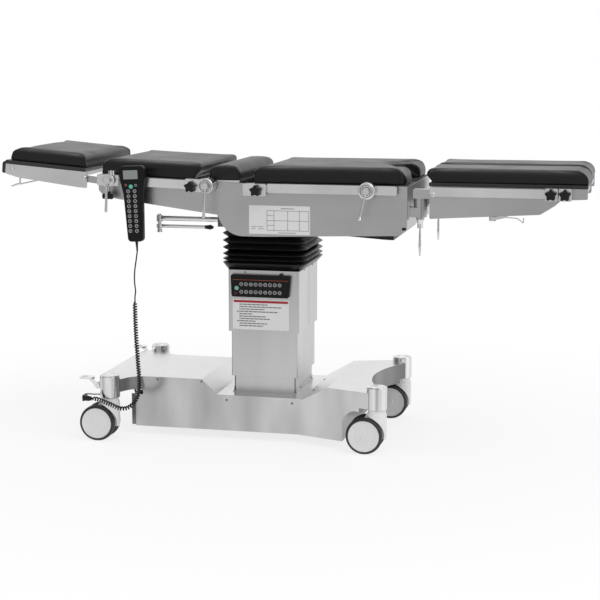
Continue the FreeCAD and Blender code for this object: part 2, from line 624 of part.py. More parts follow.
def star_knob(side, x, z):
    """Five-lobed knob with its screw, standing on the block's outer face."""
    lobes = []
    for i in range(10):
        angle = math.radians(90 + 36 * i)
        reach = KNOB_R * 1.12 if i % 2 == 0 else KNOB_R * 0.66
        lobes.append((x + reach * math.cos(angle), z + reach * math.sin(angle), 4.0 if i % 2 == 0 else 3.0))
    y0, y1 = span(side, BLOCK_Y + 4, BLOCK_Y + 4 + KNOB_T)
    head = plate_xz(lobes, y0, y1)
    c0, c1 = span(side, BLOCK_Y + GAP, BLOCK_Y + 4)
    s0, s1 = span(side, BLOCK_Y - KNOB_DEPTH, BLOCK_Y + 4)
    return fuse(head, rod_y(x, c0, c1, z, 10), rod_y(x, s0, s1, z, KNOB_STEM_R))


def seat_rails():
    out = []
    for side in (NEAR, FAR):
        bar = rail(side, 44, 481, (130, 300, 455), PANEL_Y)
        block = lock_block(side, -35, 44, 858, 898, PANEL_Y, *SEAT_KNOB)
        out.append(fuse(bar, block))
    return out


def underside_cover():
    """Shallow black cover under the foot end of the seat casing."""
    low, half = PANEL_FOOT_Z, PANEL_Y - 14
    return plate_xz([(302, low - 6.4), (466, low - 1.8), (466, low - 16), (440, low - 15.5)], -half, half)


def leg_bracket(side):
    """Bracket on the seat's foot end with the bore on which a leg swings."""
    y = side * SWING_Y
    y0, y1 = y - BARREL_R, y + BARREL_R
    body = fuse(box(PANEL_X1, SWING_X, y0, y1, BRACKET_Z0, BRACKET_Z1),
                rod_z(SWING_X, y, BRACKET_Z0, BRACKET_Z1, BARREL_R),
                box(PANEL_X1, PANEL_X1 + 6, y0 - 3, y1 + 3, BRACKET_Z0 - 8, BRACKET_Z1 + 20))
    return cut(body, rod_z(SWING_X, y, BRACKET_Z0 - 5, BRACKET_Z1 + 5, SWING_PIN_R + FIT))


# Kidney bridge

def kidney_carrier():
    z1 = DECK_Z + KIDNEY_LIFT + 4
    board = box(KIDNEY_X0 + 6, KIDNEY_X1 - 6, -BOARD_HALF, BOARD_HALF, z1 - KIDNEY_BOARD_T, z1)
    posts = [rod_z(POST_X, side * POST_Y, POST_END_Z, z1 - 6, POST_R) for side in (NEAR, FAR)]
    return fuse(board, *posts)


def kidney_pad():
    z0 = DECK_Z + KIDNEY_LIFT + 4
    z1 = z0 + 53
    side = [(KIDNEY_X0 + 4, z0), (KIDNEY_X1 - 4, z0), (KIDNEY_X1, z1, 30), (KIDNEY_X0, z1, 30)]
    return cushion(side, -PAD_HALF, PAD_HALF, z0, z1, PAD_ROUND)


def crank_gearbox():
    z1 = DECK_Z - BOARD_T - 14
    inner_y = -POST_Y - POST_R - 1
    body = fuse(box(GEARBOX_X0, CRANK_X1 + 6, CRANK_Y - 20, inner_y, CRANK_Z - 22, CRANK_Z + 24),
                box(GEARBOX_X0 + 8, CRANK_X1, CRANK_Y - 10, CRANK_Y + 10, CRANK_Z, z1))
    return cut(body, rod_x(GEARBOX_X0 - 5, CRANK_X1 + 0.5, CRANK_Y, CRANK_Z, CRANK_R + FIT))


def crank():
    """Crank shaft with the eye at its outer end and the pin on which the handle folds."""
    shaft = rod_x(CRANK_X0, CRANK_X1, CRANK_Y, CRANK_Z, CRANK_R)
    head = rod_z(CRANK_X0, CRANK_Y, CRANK_Z - 11, CRANK_Z + 11, 11)
    bolt = rod_z(CRANK_X0, CRANK_Y, CRANK_Z + 11, CRANK_Z + 15, 6)
    pin = rod_z(CRANK_X0, CRANK_Y, CRANK_Z - WEB_DROP, CRANK_Z - 10, WEB_R)
    foot = rod_z(CRANK_X0, CRANK_Y, CRANK_Z - WEB_DROP, CRANK_Z - WEB_DROP + 10, 9)
    return fuse(shaft, head, bolt, pin, foot)


def crank_handle():
    """Rod with a tapered grip, turning on the crank's pin."""
    z, end = CRANK_Z - HANDLE_DROP, CRANK_X0 + HANDLE_L
    eye = rod_z(CRANK_X0, CRANK_Y, z - 7, z + 7, 11)
    rod = rod_x(CRANK_X0, end - 25, CRANK_Y, z, HANDLE_R)
    grip = cone_between((end - 29, CRANK_Y, z), (end - 10, CRANK_Y, z), HANDLE_R, 8.5)
    tip = cone_between((end - 10, CRANK_Y, z), (end, CRANK_Y, z), 8.5, 4)
    return cut(fuse(eye, rod, grip, tip), rod_z(CRANK_X0, CRANK_Y, z - 20, z + 20, WEB_R + FIT))


# Back section

def back_side_corners():
    return [(BACK_END_X, 845, 12), (-537, 824, 14), (-480, 817, 20), (-100, 781, 30),
            (HINGE_X + 20, 781, 40), (HINGE_X + 62, HINGE_Z, 40), (HINGE_X + 40, DECK_Z - 1, 20),
            (BACK_END_X, DECK_Z - 1)]


def back_casing():
    """Side plates with hinge hubs, the head-end sheets, cross tubes, head brackets and board."""
    parts = []
    top = DECK_Z - BOARD_T
    for side in (NEAR, FAR):
        y0, y1 = span(side, BACK_PLATE_Y, BACK_PLATE_Y + SHEET_T)
        parts.append(plate_xz(back_side_corners(), y0, y1))
        h0, h1 = span(side, BACK_PLATE_Y - 12, BACK_PLATE_Y + 1)
        parts.append(rod_y(HINGE_X, h0, h1, HINGE_Z, HUB_R))
        b0, b1 = span(side, HEAD_PLATE_Y - STACK_GAP - BRACKET_T, HEAD_PLATE_Y - STACK_GAP)
        bracket = [(-530, 862), (HEAD_HINGE_X - 12, HEAD_HINGE_Z - 12, 11.9),
                   (HEAD_HINGE_X - 12, HEAD_HINGE_Z + 10, 9.9), (-530, HEAD_HINGE_Z + 2)]
        parts.append(plate_xz(bracket, b0, b1))
    width = BACK_PLATE_Y + 1
    parts.append(box(-550, -515, -width, width, 852, top))
    parts.append(box(-420, -396, -width, width, 852, top))
    parts.append(box(-272, -246, -width, width, top - 12, top))
    sheet = [(BACK_END_X, 845, 12), (-537, 824, 14), (-480, 817, 20), (BACK_SHEET_X1, 808.7),
             (BACK_SHEET_X1, 812), (-480, 820.3, 20), (-536, 827, 14), (BACK_END_X + SHEET_T, 847, 10),
             (BACK_END_X + SHEET_T, top), (BACK_END_X, top)]
    parts.append(plate_xz(sheet, -width, width))
    body = fuse(*parts)
    bores = [rod_y(HINGE_X, -260, 260, HINGE_Z, HINGE_PIN_R + FIT),
             rod_y(HEAD_HINGE_X, -260, 260, HEAD_HINGE_Z, HEAD_PIN_R + FIT)]
    board = box(BACK_X0, BACK_X1 - 32, -BOARD_HALF, BOARD_HALF, top, DECK_Z)
    return [raise_back(fuse(cut(body, *bores), board))]


def back_pad():
    z0, z1 = DECK_Z, DECK_Z + PAD_T
    side = [(BACK_X0, z0), (BACK_X1 - BACK_UNDERCUT, z0), (BACK_X1 - 4, z0 + 30, 30), (BACK_X1, z1, 10),
            (BACK_X0, z1, 26)]
    return raise_back(cushion(side, -PAD_HALF, PAD_HALF, z0, z1, PAD_ROUND))


def round_clamp(side, x, z, r, wall):
    """Round accessory clamp: a drum with a vertical bore for a post and a hub for its lever."""
    y0, y1 = span(side, wall, CLAMP_FACE)
    drum = rod_y(x, y0, y1, z, r)
    ends = [e for e in drum.Edges if abs(abs(e.CenterOfMass.y) - CLAMP_FACE) < 1]
    drum = drum.makeFillet(4, ends)
    hole = rod_y(x, *span(side, CLAMP_FACE - LEVER_PIN_L - 1, CLAMP_FACE + 1), z, LEVER_PIN_R + FIT)
    post = rod_z(x, side * CLAMP_POST_Y, z - 60, z + 60, CLAMP_POST_R)
    return cut(drum, hole, post)


def back_rails():
    """Rails of the back section with the near side's knob block and clamp bodies."""
    wall = BACK_PLATE_Y + SHEET_T
    near = rail(NEAR, -545, -236, (-452, -300), wall)
    far = rail(FAR, -545, -236, (-500, -300), wall)
    near_block = lock_block(NEAR, -238, -181, 861, 904, wall, *BACK_KNOB)
    far_block = lock_block(FAR, -238, -181, 861, 904, wall, *BACK_KNOB)
    boss = round_clamp(NEAR, CLAMP2_X, CLAMP2_Z, 25, wall + 6)
    boss = fuse(boss, rod_y(CLAMP2_X, -wall - 6, -wall, CLAMP2_Z, 16))
    shoe = plate_xz([(-548, 866, 4), (-471, 866, 4), (-471, 903, 4), (-548, 903, 4)],
                    -CLAMP_POST_Y, -RAIL_Y + 5)
    channel = box(-560, -460, -RAIL_Y - RAIL_T - 0.2, -RAIL_Y + 0.2, RAIL_TOP - RAIL_H - 0.2, RAIL_TOP + 0.2)
    shoe = cut(shoe, channel)
    drum = fuse(rod_y(CLAMP1_X, -CLAMP_FACE, 1 - CLAMP_POST_Y, CLAMP1_Z, 17), shoe)
    eye_x, eye_y = CLAMP1_X + 12, -CLAMP_POST_Y - 3
    eye = cut(rod_z(eye_x, eye_y, 903, 918, 13), rod_z(eye_x, eye_y, 890, 930, CLAMP_POST_R))
    stem = rod_z(CLAMP1_X - 6, WING_Y, 846, 868, 7)
    clamp = fuse(drum, eye, stem)
    pin_end = 1 + LEVER_PIN_L - CLAMP_FACE
    clamp = cut(clamp, rod_y(CLAMP1_X, -CLAMP_FACE - 1, pin_end, CLAMP1_Z, LEVER_PIN_R + FIT),
                rod_z(CLAMP1_X - 6, WING_Y, 840, 858, KNOB_STEM_R + FIT))
    near_side = fuse(near, near_block, boss)
    return [raise_back(near_side), raise_back(fuse(far, far_block)), raise_back(clamp)]


def clamp_knob():
    """Black wing knob under the head-end clamp."""
    x, y, z1 = CLAMP1_X - 6, WING_Y, 846 - GAP
    wing = box(x - 19, x + 19, y - 7, y + 7, z1 - 26, z1 - 8)
    wing = wing.makeFillet(5, wing.Edges)
    hub = rod_z(x, y, z1 - 20, z1, 9)
    screw = rod_z(x, y, z1 - 4, z1 + 10, KNOB_STEM_R)
    return raise_back(fuse(wing, hub, screw))


def clamp_lever(x, z, length, lean, ball):
    """Hub in the clamp's bore with a tapered lever hanging from it."""
    hub = fuse(rod_y(x, -CLAMP_FACE - 10, LEVER_PIN_L - CLAMP_FACE, z, LEVER_PIN_R),
               rod_y(x, -CLAMP_FACE - 12, -CLAMP_FACE - GAP, z, 11))
    y = -CLAMP_FACE - 7
    start = (x + lean * 0.25, y, z - length * 0.25)
    foot = (x + lean, y, z - length)
    neck_r, start_r, foot_r, end_r = (3.0, 2.6, 2.6, 7.0) if ball else (4.0, 4.0, 5.0, 5.0)
    neck = cone_between((x, y, z), start, 4.5, neck_r)
    arm = cone_between(start, foot, start_r, foot_r)
    return fuse(hub, neck, arm, Part.makeSphere(end_r, Vector(*foot)))


# Head section

def head_frame():
    """Side plates, cross tubes and hinge pins."""
    x, z = HEAD_HINGE_X, HEAD_HINGE_Z
    plate = [(x - 287, z + 21), (x - 288, z - 13, 6), (x - 237, z - 23), (x - 17, z - 34),
             (x + 12, z - 34, 3), (x + 12, z + 21)]
    parts = []
    for side in (NEAR, FAR):
        y0, y1 = span(side, HEAD_PLATE_Y, HEAD_PLATE_Y + HEAD_PLATE_T)
        parts.append(plate_xz(plate, y0, y1))
        p0, p1 = span(side, HEAD_PLATE_Y - 12, HEAD_PLATE_Y + 1)
        parts.append(rod_y(x, p0, p1, z, HEAD_PIN_R))
        n0, n1 = span(side, HEAD_PLATE_Y + HEAD_PLATE_T - 1, HEAD_PLATE_Y + HEAD_PLATE_T + 3)
        parts.append(rod_y(x, n0, n1, z, 5))
        parts.append(rod_y(x - 262, n0, n1, z + 4, 6))
    width = HEAD_PLATE_Y + 1
    parts.append(box(x - 283, x - 262, -width, width, z - 8, z + 21))
    parts.append(box(x - 70, x - 45, -width, width, z - 8, z + 21))
    holes = [rod_y(x - 236, -300, 300, z - 14, BAIL_WIRE_R + FIT)]
    return raise_head(cut(fuse(*parts), *holes))


def head_pad():
    """The head pad, and the board with its rounded end bumper under it."""
    x, z = HEAD_HINGE_X, HEAD_HINGE_Z
    base = z + 34
    side = [(x + 3 - HEAD_LENGTH, base), (x + 4, base), (x + 4, base + HEAD_PAD_T, 14),
            (x + 3 - HEAD_LENGTH, base + HEAD_PAD_T, 26)]
    pad = cushion(side, -PAD_HALF, PAD_HALF, base, base + HEAD_PAD_T, PAD_ROUND)
    width = HEAD_PLATE_Y + HEAD_PLATE_T - 1
    board = box(x - 288, x + 3, -width, width, z + 21, z + 34)
    bumper = plate_xz([(x - 300, z - 12, 6), (x - 288, z - 12, 3), (x - 288, z + 30), (x - 300, z + 30, 11)],
                      -width, width)
    return [raise_head(pad), raise_head(fuse(board, bumper))]


def head_bail():
    """Wire release bail across the section, hinged in both side plates."""
    x, z, y = HEAD_HINGE_X - 236, HEAD_HINGE_Z - 14, HEAD_PLATE_Y - 8
    r = BAIL_WIRE_R
    parts = []
    for side in (NEAR, FAR):
        y0, y1 = span(side, y, HEAD_PLATE_Y + HEAD_PLATE_T)
        parts.append(rod_y(x, y0, y1, z, r))
        top, knee, foot = (x, side * y, z), (x - 1, side * y, z - 30), (x - 30, side * y, z - 42)
        parts.append(cone_between(top, knee, r, r))
        parts.append(cone_between(knee, foot, r, r))
        for point in (top, knee, foot):
            parts.append(Part.makeSphere(r, Vector(*point)))
    parts.append(rod_y(x - 30, -y, y, z - 42, r))
    return raise_head(fuse(*parts))


# Leg sections

def leg_yoke(side):
    """Sleeve on the seat bracket, arm to the leg and the shaft on which the leg folds."""
    y = side * SWING_Y
    sleeve = rod_z(SWING_X, y, BRACKET_Z1 + GAP, BARREL_Z1, BARREL_R)
    y0, y1 = span(side, SWING_Y - 16, SWING_Y + 22)
    arm = plate_xz([(SWING_X - 22, BARREL_Z1 - 1, 3), (LEG_AXIS_X + 8, BARREL_Z1 - 1, 10),
                    (LEG_AXIS_X + 15, BARREL_Z1 + 12, 8), (LEG_AXIS_X + 15, ARM_Z1, 12),
                    (SWING_X - 22, ARM_Z1, 3)], y0, y1)
    s0, s1 = span(side, LEG_INNER_Y, PANEL_Y)
    shaft = rod_y(LEG_AXIS_X, s0, s1, LEG_AXIS_Z, LEG_SHAFT_R)
    pin = rod_z(SWING_X, y, BRACKET_Z0 - 8, BRACKET_Z1 + 5, SWING_PIN_R)
    return fuse(sleeve, arm, shaft, pin)


def leg_casing(side):
    """Two side plates joined by the bottom sheet and cross bars, with the rail and its blocks."""
    plate = [(LEG_PLATE_X0, LEG_DECK_Z), (LEG_PLATE_X0, 792, 4), (943, 814, 20), (990, 844, 20),
             (1008, 861, 6), (LEG_END_X, 866, 4), (LEG_END_X, LEG_DECK_Z)]
    parts = []
    for a, b in ((PANEL_Y - SHEET_T, PANEL_Y), (LEG_INNER_Y, LEG_INNER_Y + SHEET_T)):
        y0, y1 = span(side, a, b)
        parts.append(plate_xz(plate, y0, y1))
    y0, y1 = span(side, LEG_INNER_Y, PANEL_Y)
    sheet = [(690, 799.4), (943, 814.8, 20), (990, 844.8, 20), (1008, 862.3), (1008, 866), (989, 848, 20),
             (942, 817.6, 20), (690, 802.2)]
    parts.append(plate_xz(sheet, y0, y1))
    lever0, lever1 = span(side, SWING_Y - 18, SWING_Y + 18)
    parts[-1] = cut(parts[-1], box(680, 818, lever0, lever1, 790, 830))
    for x0, x1, bar_z0 in ((835, 860, 884), (LEG_END_X - 32, LEG_END_X - 2, 884), (640, 660, 890)):
        parts.append(box(x0, x1, y0, y1, bar_z0, LEG_DECK_Z))
    rail_bar = rail(side, 588, 958, (640, 780, 920), PANEL_Y)
    blocks = []
    for i, (kx, kz) in enumerate(LEG_KNOBS):
        blocks.append(lock_block(side, kx - 19.5, kx + 21.5, 862, 902, PANEL_Y, kx, kz))
    body = fuse(*(parts + [rail_bar]))
    shaft0, shaft1 = span(side, LEG_INNER_Y - 5, PANEL_Y + 5)
    body = cut(body, rod_y(LEG_AXIS_X, shaft0, shaft1, LEG_AXIS_Z, LEG_SHAFT_R + FIT))
    lug0, lug1 = span(side, 150, 158)
    lug = plate_xz([(770, 780, 5), (794, 780, 5), (794, 808), (770, 806)], lug0, lug1)
    lug = cut(lug, rod_y(782, lug0 - 1, lug1 + 1, 788, 4 + FIT))
    return [fuse(body, *(blocks + [lug]))]


def leg_pad(side):
    """Leg pad on its board."""
    base = LEG_DECK_Z + LEG_BOARD_T
    top = base + LEG_PAD_T
    board0, board1 = span(side, LEG_GAP / 2, PAD_HALF + 4)
    board = box(LEG_PLATE_X0 - 3, LEG_END_X, board0, board1, LEG_DECK_Z, base)
    p0, p1 = span(side, LEG_GAP / 2, PAD_HALF)
    outline = [(LEG_X0 + 26, base, 4), (LEG_X1, base, 6), (LEG_X1, top, 26), (LEG_X0 + 3, top, 12),
               (LEG_X0, base + 22, 14)]
    pad = cushion(outline, p0, p1, base, top, PAD_ROUND)
    return [pad, board]


def swing_lever(side):
    """Lock nut under the leg bracket with its hanging handle."""
    y = side * SWING_Y
    z1 = BRACKET_Z0 - 8 - GAP
    cone = cone_between((SWING_X, y, z1), (SWING_X, y, z1 - 15), 13, 9)
    nut = plate_xy([(SWING_X + 10 * math.cos(math.radians(60 * i)), y + 10 * math.sin(math.radians(60 * i)))
                    for i in range(6)], z1 - 29, z1 - 14)
    upper = cone_between((SWING_X, y, z1 - 28), (SWING_X, y, z1 - 90), 3, 5)
    lower = cone_between((SWING_X, y, z1 - 90), (SWING_X, y, z1 - 121), 5, 2.5)
    return fuse(cone, nut, upper, lower)


def leg_release(side):
    """Paddle with a wire bail under the leg that frees its fold."""
    y0, y1 = span(side, 140, 168)
    lug0, lug1 = span(side, 149, 159)
    paddle = plate_xz([(776, 781, 2), (832, 794, 2), (830, 798, 2), (786, 794)], y0, y1)
    slot = box(760, 800, lug0 - 0.3, lug1 + 0.3, 770, 800)
    paddle = cut(paddle, slot)
    pin = rod_y(782, y0, y1, 788, 4)
    arms = [rod_y(782, *sorted((side * a, side * b)), 788, 7) for a, b in ((140, 148.7), (159.3, 168))]
    y = side * 154
    corner = (882, y, 776)
    wire = [cone_between((824, y, 793), (862, y, 790), 2, 2), cone_between((862, y, 790), corner, 2, 2),
            cone_between(corner, (884, y, 792), 2, 2)]
    wire += [Part.makeSphere(2, Vector(862, y, 790)), Part.makeSphere(2, Vector(*corner))]
    return fuse(paddle, pin, *(arms + wire))


# Casters and brake

def caster_fork(x, y):
    """Hooded fork between the twin wheels, with the stem that turns in the housing."""
    wheel_x, wheel_z = x - TRAIL, WHEEL_R
    top = HOUSING_Z0 - GAP
    neck = rod_z(x, y, top - 12, top, 30)
    stem = rod_z(x, y, top - 5, HOUSING_Z1 - 24, STEM_R)
    web = plate_xz([(wheel_x - 14, wheel_z - 14, 13), (wheel_x + 30, wheel_z - 20, 20), (x + 33, 62, 12),
                    (x + 33, top, 4), (x - 28, top, 6), (x - 44, top - 26, 20),
                    (wheel_x - 14, wheel_z + 20, 10)], y - 12, y + 12)
    hood = plate_xz([(x - 6, 62), (x + 34, 62, 10), (x + 34, top - 1, 12), (x - 26, top - 1, 10),
                     (x - 40, top - 24, 10), (x - 20, 100)], y - 40, y + 40)
    for side in (-1, 1):
        y0, y1 = span(side, 12, 60)
        hood = hood.cut(rod_y(wheel_x, y + y0, y + y1, wheel_z, WHEEL_R + 4))
    body = fuse(neck, stem, web, hood)
    return cut(body, rod_y(wheel_x, y - 60, y + 60, wheel_z, AXLE_R + FIT))


def caster_wheels(x, y):
    """Two wheels with dished covers on one axle."""
    wheel_x, wheel_z = x - TRAIL, WHEEL_R
    parts = [rod_y(wheel_x, y - WHEEL_INNER - 8, y + WHEEL_INNER + 8, wheel_z, AXLE_R)]
    for side in (-1, 1):
        y0, y1 = span(side, WHEEL_INNER, WHEEL_INNER + WHEEL_W)
        disc = rod_y(wheel_x, y + y0, y + y1, wheel_z, WHEEL_R)
        disc = disc.makeFillet(7, [e for e in disc.Edges if e.Curve.TypeId == "Part::GeomCircle"])
        outer = y + side * (WHEEL_INNER + WHEEL_W)
        dish0, dish1 = min(outer, outer - side * 2), max(outer, outer - side * 2)
        disc = disc.cut(rod_y(wheel_x, dish0, dish1, wheel_z, 52))
        inner = y + side * WHEEL_INNER
        hollow0, hollow1 = min(inner, inner + side * 12), max(inner, inner + side * 12)
        hollow = rod_y(wheel_x, hollow0, hollow1, wheel_z, 50)
        hub = rod_y(wheel_x, hollow0, hollow1, wheel_z, 12)
        parts.append(disc.cut(hollow.cut(hub)))
    return fuse(*parts)


def brake_pedals():
    """Cross shaft with a pedal at each end."""
    half = CASTER_HEAD_Y + 8
    parts = [rod_y(BRAKE_X, -half, half, BRAKE_Z, BRAKE_R)]
    for side in (NEAR, FAR):
        y = side * CASTER_HEAD_Y
        parts.append(rod_y(BRAKE_X, y - 8, y + 8, BRAKE_Z, 8.2))
        arm = plate_xz([(BRAKE_X - 4, BRAKE_Z - 6, 3), (BRAKE_X + 2, BRAKE_Z + 7, 3),
                        (BRAKE_X - 26, BRAKE_Z + 31, 3), (BRAKE_X - 34, BRAKE_Z + 25, 3)], y - 5, y + 5)
        pedal = plate_xy([(BRAKE_X - 66, y - 20, 16), (BRAKE_X - 14, y - 20, 16), (BRAKE_X - 14, y + 20, 16),
                          (BRAKE_X - 66, y + 20, 16)], BRAKE_Z + 26, BRAKE_Z + 32)
        hole = plate_xy([(BRAKE_X - 56, y - 10, 8), (BRAKE_X - 36, y - 10, 8), (BRAKE_X - 36, y + 10, 8),
                         (BRAKE_X - 56, y + 10, 8)], BRAKE_Z + 20, BRAKE_Z + 40)
        parts.append(fuse(arm, cut(pedal, hole)))
    return fuse(*parts)


# Handset and cord

def handset():
    """Handset with its strain relief and the hook that hangs on the rail."""
    x, z = HANDSET_X, HANDSET_TOP
    outline = [(x - 30, z - 235, 10), (x - 12, z - 256, 6), (x + 12, z - 256, 6), (x + 30, z - 235, 10),
               (x + 34, z - 95, 60), (x + 44, z - 45, 30), (x + 44, z, 14), (x - 44, z, 14),
               (x - 44, z - 45, 30), (x - 34, z - 95, 60)]
    body = plate_xz(outline, HANDSET_Y0, HANDSET_Y1)
    middle = (HANDSET_Y0 + HANDSET_Y1) / 2
    relief = cone_between((x, middle, z - 254), (x, middle, z - 289), 5.5, 3.2)
    body = turn_y(fuse(body, relief), x, z - 45, HANDSET_LEAN)
    behind = 1 - RAIL_Y
    hook = plate_yz([(HANDSET_Y1 - 1, HOOK_Z - 16), (HANDSET_Y1 + 3, HOOK_Z - 16), (HANDSET_Y1 + 3, HOOK_Z),
                     (behind, HOOK_Z), (behind, HOOK_Z - 18), (behind + 3, HOOK_Z - 18),
                     (behind + 3, HOOK_Z + 3), (HANDSET_Y1 - 1, HOOK_Z + 3)], x - 14, x + 14)
    return fuse(body, hook)


def tube_along(points, radius):
    """Tube whose path is straight runs joined by tangent arcs."""
    places = [Vector(*p) for p in points]
    edges = []
    start = places[0]
    radii = []
    for i in range(1, len(places) - 1):
        here = places[i]
        into = places[i - 1].sub(here)
        out = places[i + 1].sub(here)
        shorter = min(into.Length, out.Length)
        turn = math.pi - into.getAngle(out)
        if turn < 1e-4:
            continue
        reach = 0.45 * shorter
        arc_r = reach / math.tan(turn / 2)
        radii.append(round(arc_r, 1))
        into.normalize()
        out.normalize()
        a, b = here.add(into * reach), here.add(out * reach)
        middle = into.add(out)
        middle.normalize()
        top = here.add(middle * (arc_r / math.cos(turn / 2) - arc_r))
        edges.append(Part.LineSegment(start, a).toShape())
        edges.append(Part.Arc(a, top, b).toShape())
        start = b
    edges.append(Part.LineSegment(start, places[-1]).toShape())
    path = Part.Wire(edges)
    direction = places[1].sub(places[0])
    section = Part.Wire([Part.makeCircle(radius, places[0], direction)])
    tube = path.makePipeShell([section], True, False)
    length = path.Length
    print("cord route: length %.1f mm, radii %s, volume ratio %.4f"
          % (length, radii, tube.Volume / (math.pi * radius ** 2 * length)))
    return tube


def cord_plug():
    """Round plug at the cord's end, held in the collar of the socket bracket."""
    body = rod_x(PLUG_X0 + GAP, PLUG_X0 + PLUG_L - 8, PLUG_Y, PLUG_Z, 9)
    rear = cone_between((PLUG_X0 + PLUG_L - 8.5, PLUG_Y, PLUG_Z), (PLUG_X0 + PLUG_L, PLUG_Y, PLUG_Z), 8, 7)
    return fuse(body, rear)


def export(name, shapes):
    solids = shapes if isinstance(shapes, list) else [shapes]
    flat = []
    for shape in solids:
        flat += shape.Solids
    for solid in flat:
        if not solid.isValid():
            print("INVALID", name)
    whole = flat[0] if len(flat) == 1 else Part.makeCompound(flat)
    whole.exportStep("parts/%s.step" % name)
    b = whole.BoundBox
    print("%-22s %d solids  x %.0f..%.0f y %.0f..%.0f z %.0f..%.0f  vol %.0f cm3"
          % (name, len(flat), b.XMin, b.XMax, b.YMin, b.YMax, b.ZMin, b.ZMax, whole.Volume / 1000))


def main():
    os.makedirs("parts", exist_ok=True)
    export("base_frame", [base_frame()] + power_unit() + [socket_bracket()])
    export("base_cover", base_cover())
    export("caster_housings", caster_housings())
    export("column_lower_cover", column_cover(2, SADDLE_Z, LOWER_Z1))
    export("column_middle_cover", column_cover(1, MIDDLE_Z0, MIDDLE_Z1))
    export("column_upper_cover", column_cover(0, UPPER_Z0, UPPER_Z1))
    export("outer_mast", outer_mast())
    export("inner_mast", inner_mast())
    export("control_panel", control_panel())
    export("lower_bellows", bellows(UPPER_Z1 + GAP, BELLOWS_SPLIT, LOWER_PLEATS))
    export("upper_bellows", bellows(BELLOWS_SPLIT + GAP, RING_Z0 - GAP, UPPER_PLEATS))
    export("gimbal_cross", gimbal_cross())
    export("seat_frame", [fuse(seat_frame(), crank_gearbox()), seat_board()])
    export("seat_casing", [seat_casing()] + [leg_bracket(side) for side in (NEAR, FAR)])
    export("seat_pad", seat_pad())
    seat_clamp = round_clamp(NEAR, CLAMP3_X, CLAMP3_Z, 28, RAIL_Y + RAIL_T + GAP)
    export("seat_rails", seat_rails() + [seat_clamp])
    export("seat_underside_cover", underside_cover())
    export("kidney_carrier", kidney_carrier())
    export("kidney_pad", kidney_pad())
    export("crank", crank())
    export("crank_handle", crank_handle())
    export("back_casing", back_casing())
    export("back_pad", back_pad())
    export("back_rails", back_rails())
    export("head_frame", head_frame())
    export("head_pad", head_pad())
    export("head_bail", head_bail())
    for side, word in ((NEAR, "near"), (FAR, "far")):
        export("leg_yoke_" + word, leg_yoke(side))
        export("leg_casing_" + word, leg_casing(side))
        export("leg_pad_" + word, leg_pad(side))
        export("swing_lever_" + word, swing_lever(side))
        export("leg_release_" + word, leg_release(side))
        export("seat_knob_" + word, star_knob(side, *SEAT_KNOB))
        for letter, place in zip("ab", LEG_KNOBS):
            export("leg_knob_%s_%s" % (word, letter), star_knob(side, *place))
    export("back_knob", raise_back(star_knob(NEAR, *BACK_KNOB)))
    export("clamp_knob", clamp_knob())
    export("clamp_lever_head", raise_back(clamp_lever(CLAMP1_X, CLAMP1_Z, 104, -2, False)))
    export("clamp_lever_back", raise_back(clamp_lever(CLAMP2_X, CLAMP2_Z, 103, -2, False)))
    export("clamp_lever_seat", clamp_lever(CLAMP3_X, CLAMP3_Z, 90, -20, True))
    for name, x, y in caster_places():
        export("caster_fork_" + name, caster_fork(x, y))
        export("caster_wheels_" + name, caster_wheels(x, y))
    export("brake_pedals", brake_pedals())
    export("handset", handset())
    coil = tube_along(COIL_ROUTE, COIL_R)
    lead = tube_along(LEAD_ROUTE, LEAD_R)
    export("handset_cord", [coil, lead])
    export("cord_plug", cord_plug())


main()
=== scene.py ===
import math

import bmesh
import bpy
from mathutils import Matrix, Vector


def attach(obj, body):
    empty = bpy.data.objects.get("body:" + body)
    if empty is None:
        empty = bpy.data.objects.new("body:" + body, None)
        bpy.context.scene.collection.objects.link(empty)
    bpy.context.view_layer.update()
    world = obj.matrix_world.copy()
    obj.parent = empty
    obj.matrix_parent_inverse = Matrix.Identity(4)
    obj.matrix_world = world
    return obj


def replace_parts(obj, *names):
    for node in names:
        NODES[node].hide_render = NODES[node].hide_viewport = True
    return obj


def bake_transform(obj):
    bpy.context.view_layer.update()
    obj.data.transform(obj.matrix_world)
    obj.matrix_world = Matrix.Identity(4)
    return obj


# The looks of a mobile operating table. Lengths in metres, angles in degrees.
# X runs from the head (-) to the feet (+), Y across with the near side at -, Z up from the floor.

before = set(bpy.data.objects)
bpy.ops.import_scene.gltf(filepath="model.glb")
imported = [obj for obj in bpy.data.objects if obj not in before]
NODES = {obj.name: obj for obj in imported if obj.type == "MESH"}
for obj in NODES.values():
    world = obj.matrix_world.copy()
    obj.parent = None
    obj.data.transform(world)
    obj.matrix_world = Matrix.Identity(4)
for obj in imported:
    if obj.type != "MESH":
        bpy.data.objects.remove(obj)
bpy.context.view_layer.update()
NEAR, FAR = -1, 1
SIDES = ((NEAR, "near"), (FAR, "far"))

# The back section stands raised about its hinge, and the head section a little more about its own
BACK_HINGE = Vector((-0.044, 0, 0.807))
BACK_RAISE = 2.0
HEAD_HINGE = Vector((-0.611, 0, 0.883))
HEAD_RAISE = 2.7


def turned_about(point, degrees):
    """Matrix of a turn about the Y line through a point; positive raises the head end."""
    turn = Matrix.Rotation(math.radians(degrees), 4, "Y")
    return Matrix.Translation(point) @ turn @ Matrix.Translation(-point)


LEVEL = Matrix.Identity(4)
ON_BACK = turned_about(BACK_HINGE, BACK_RAISE)
ON_HEAD = ON_BACK @ turned_about(HEAD_HINGE, HEAD_RAISE)


# Shader nodes

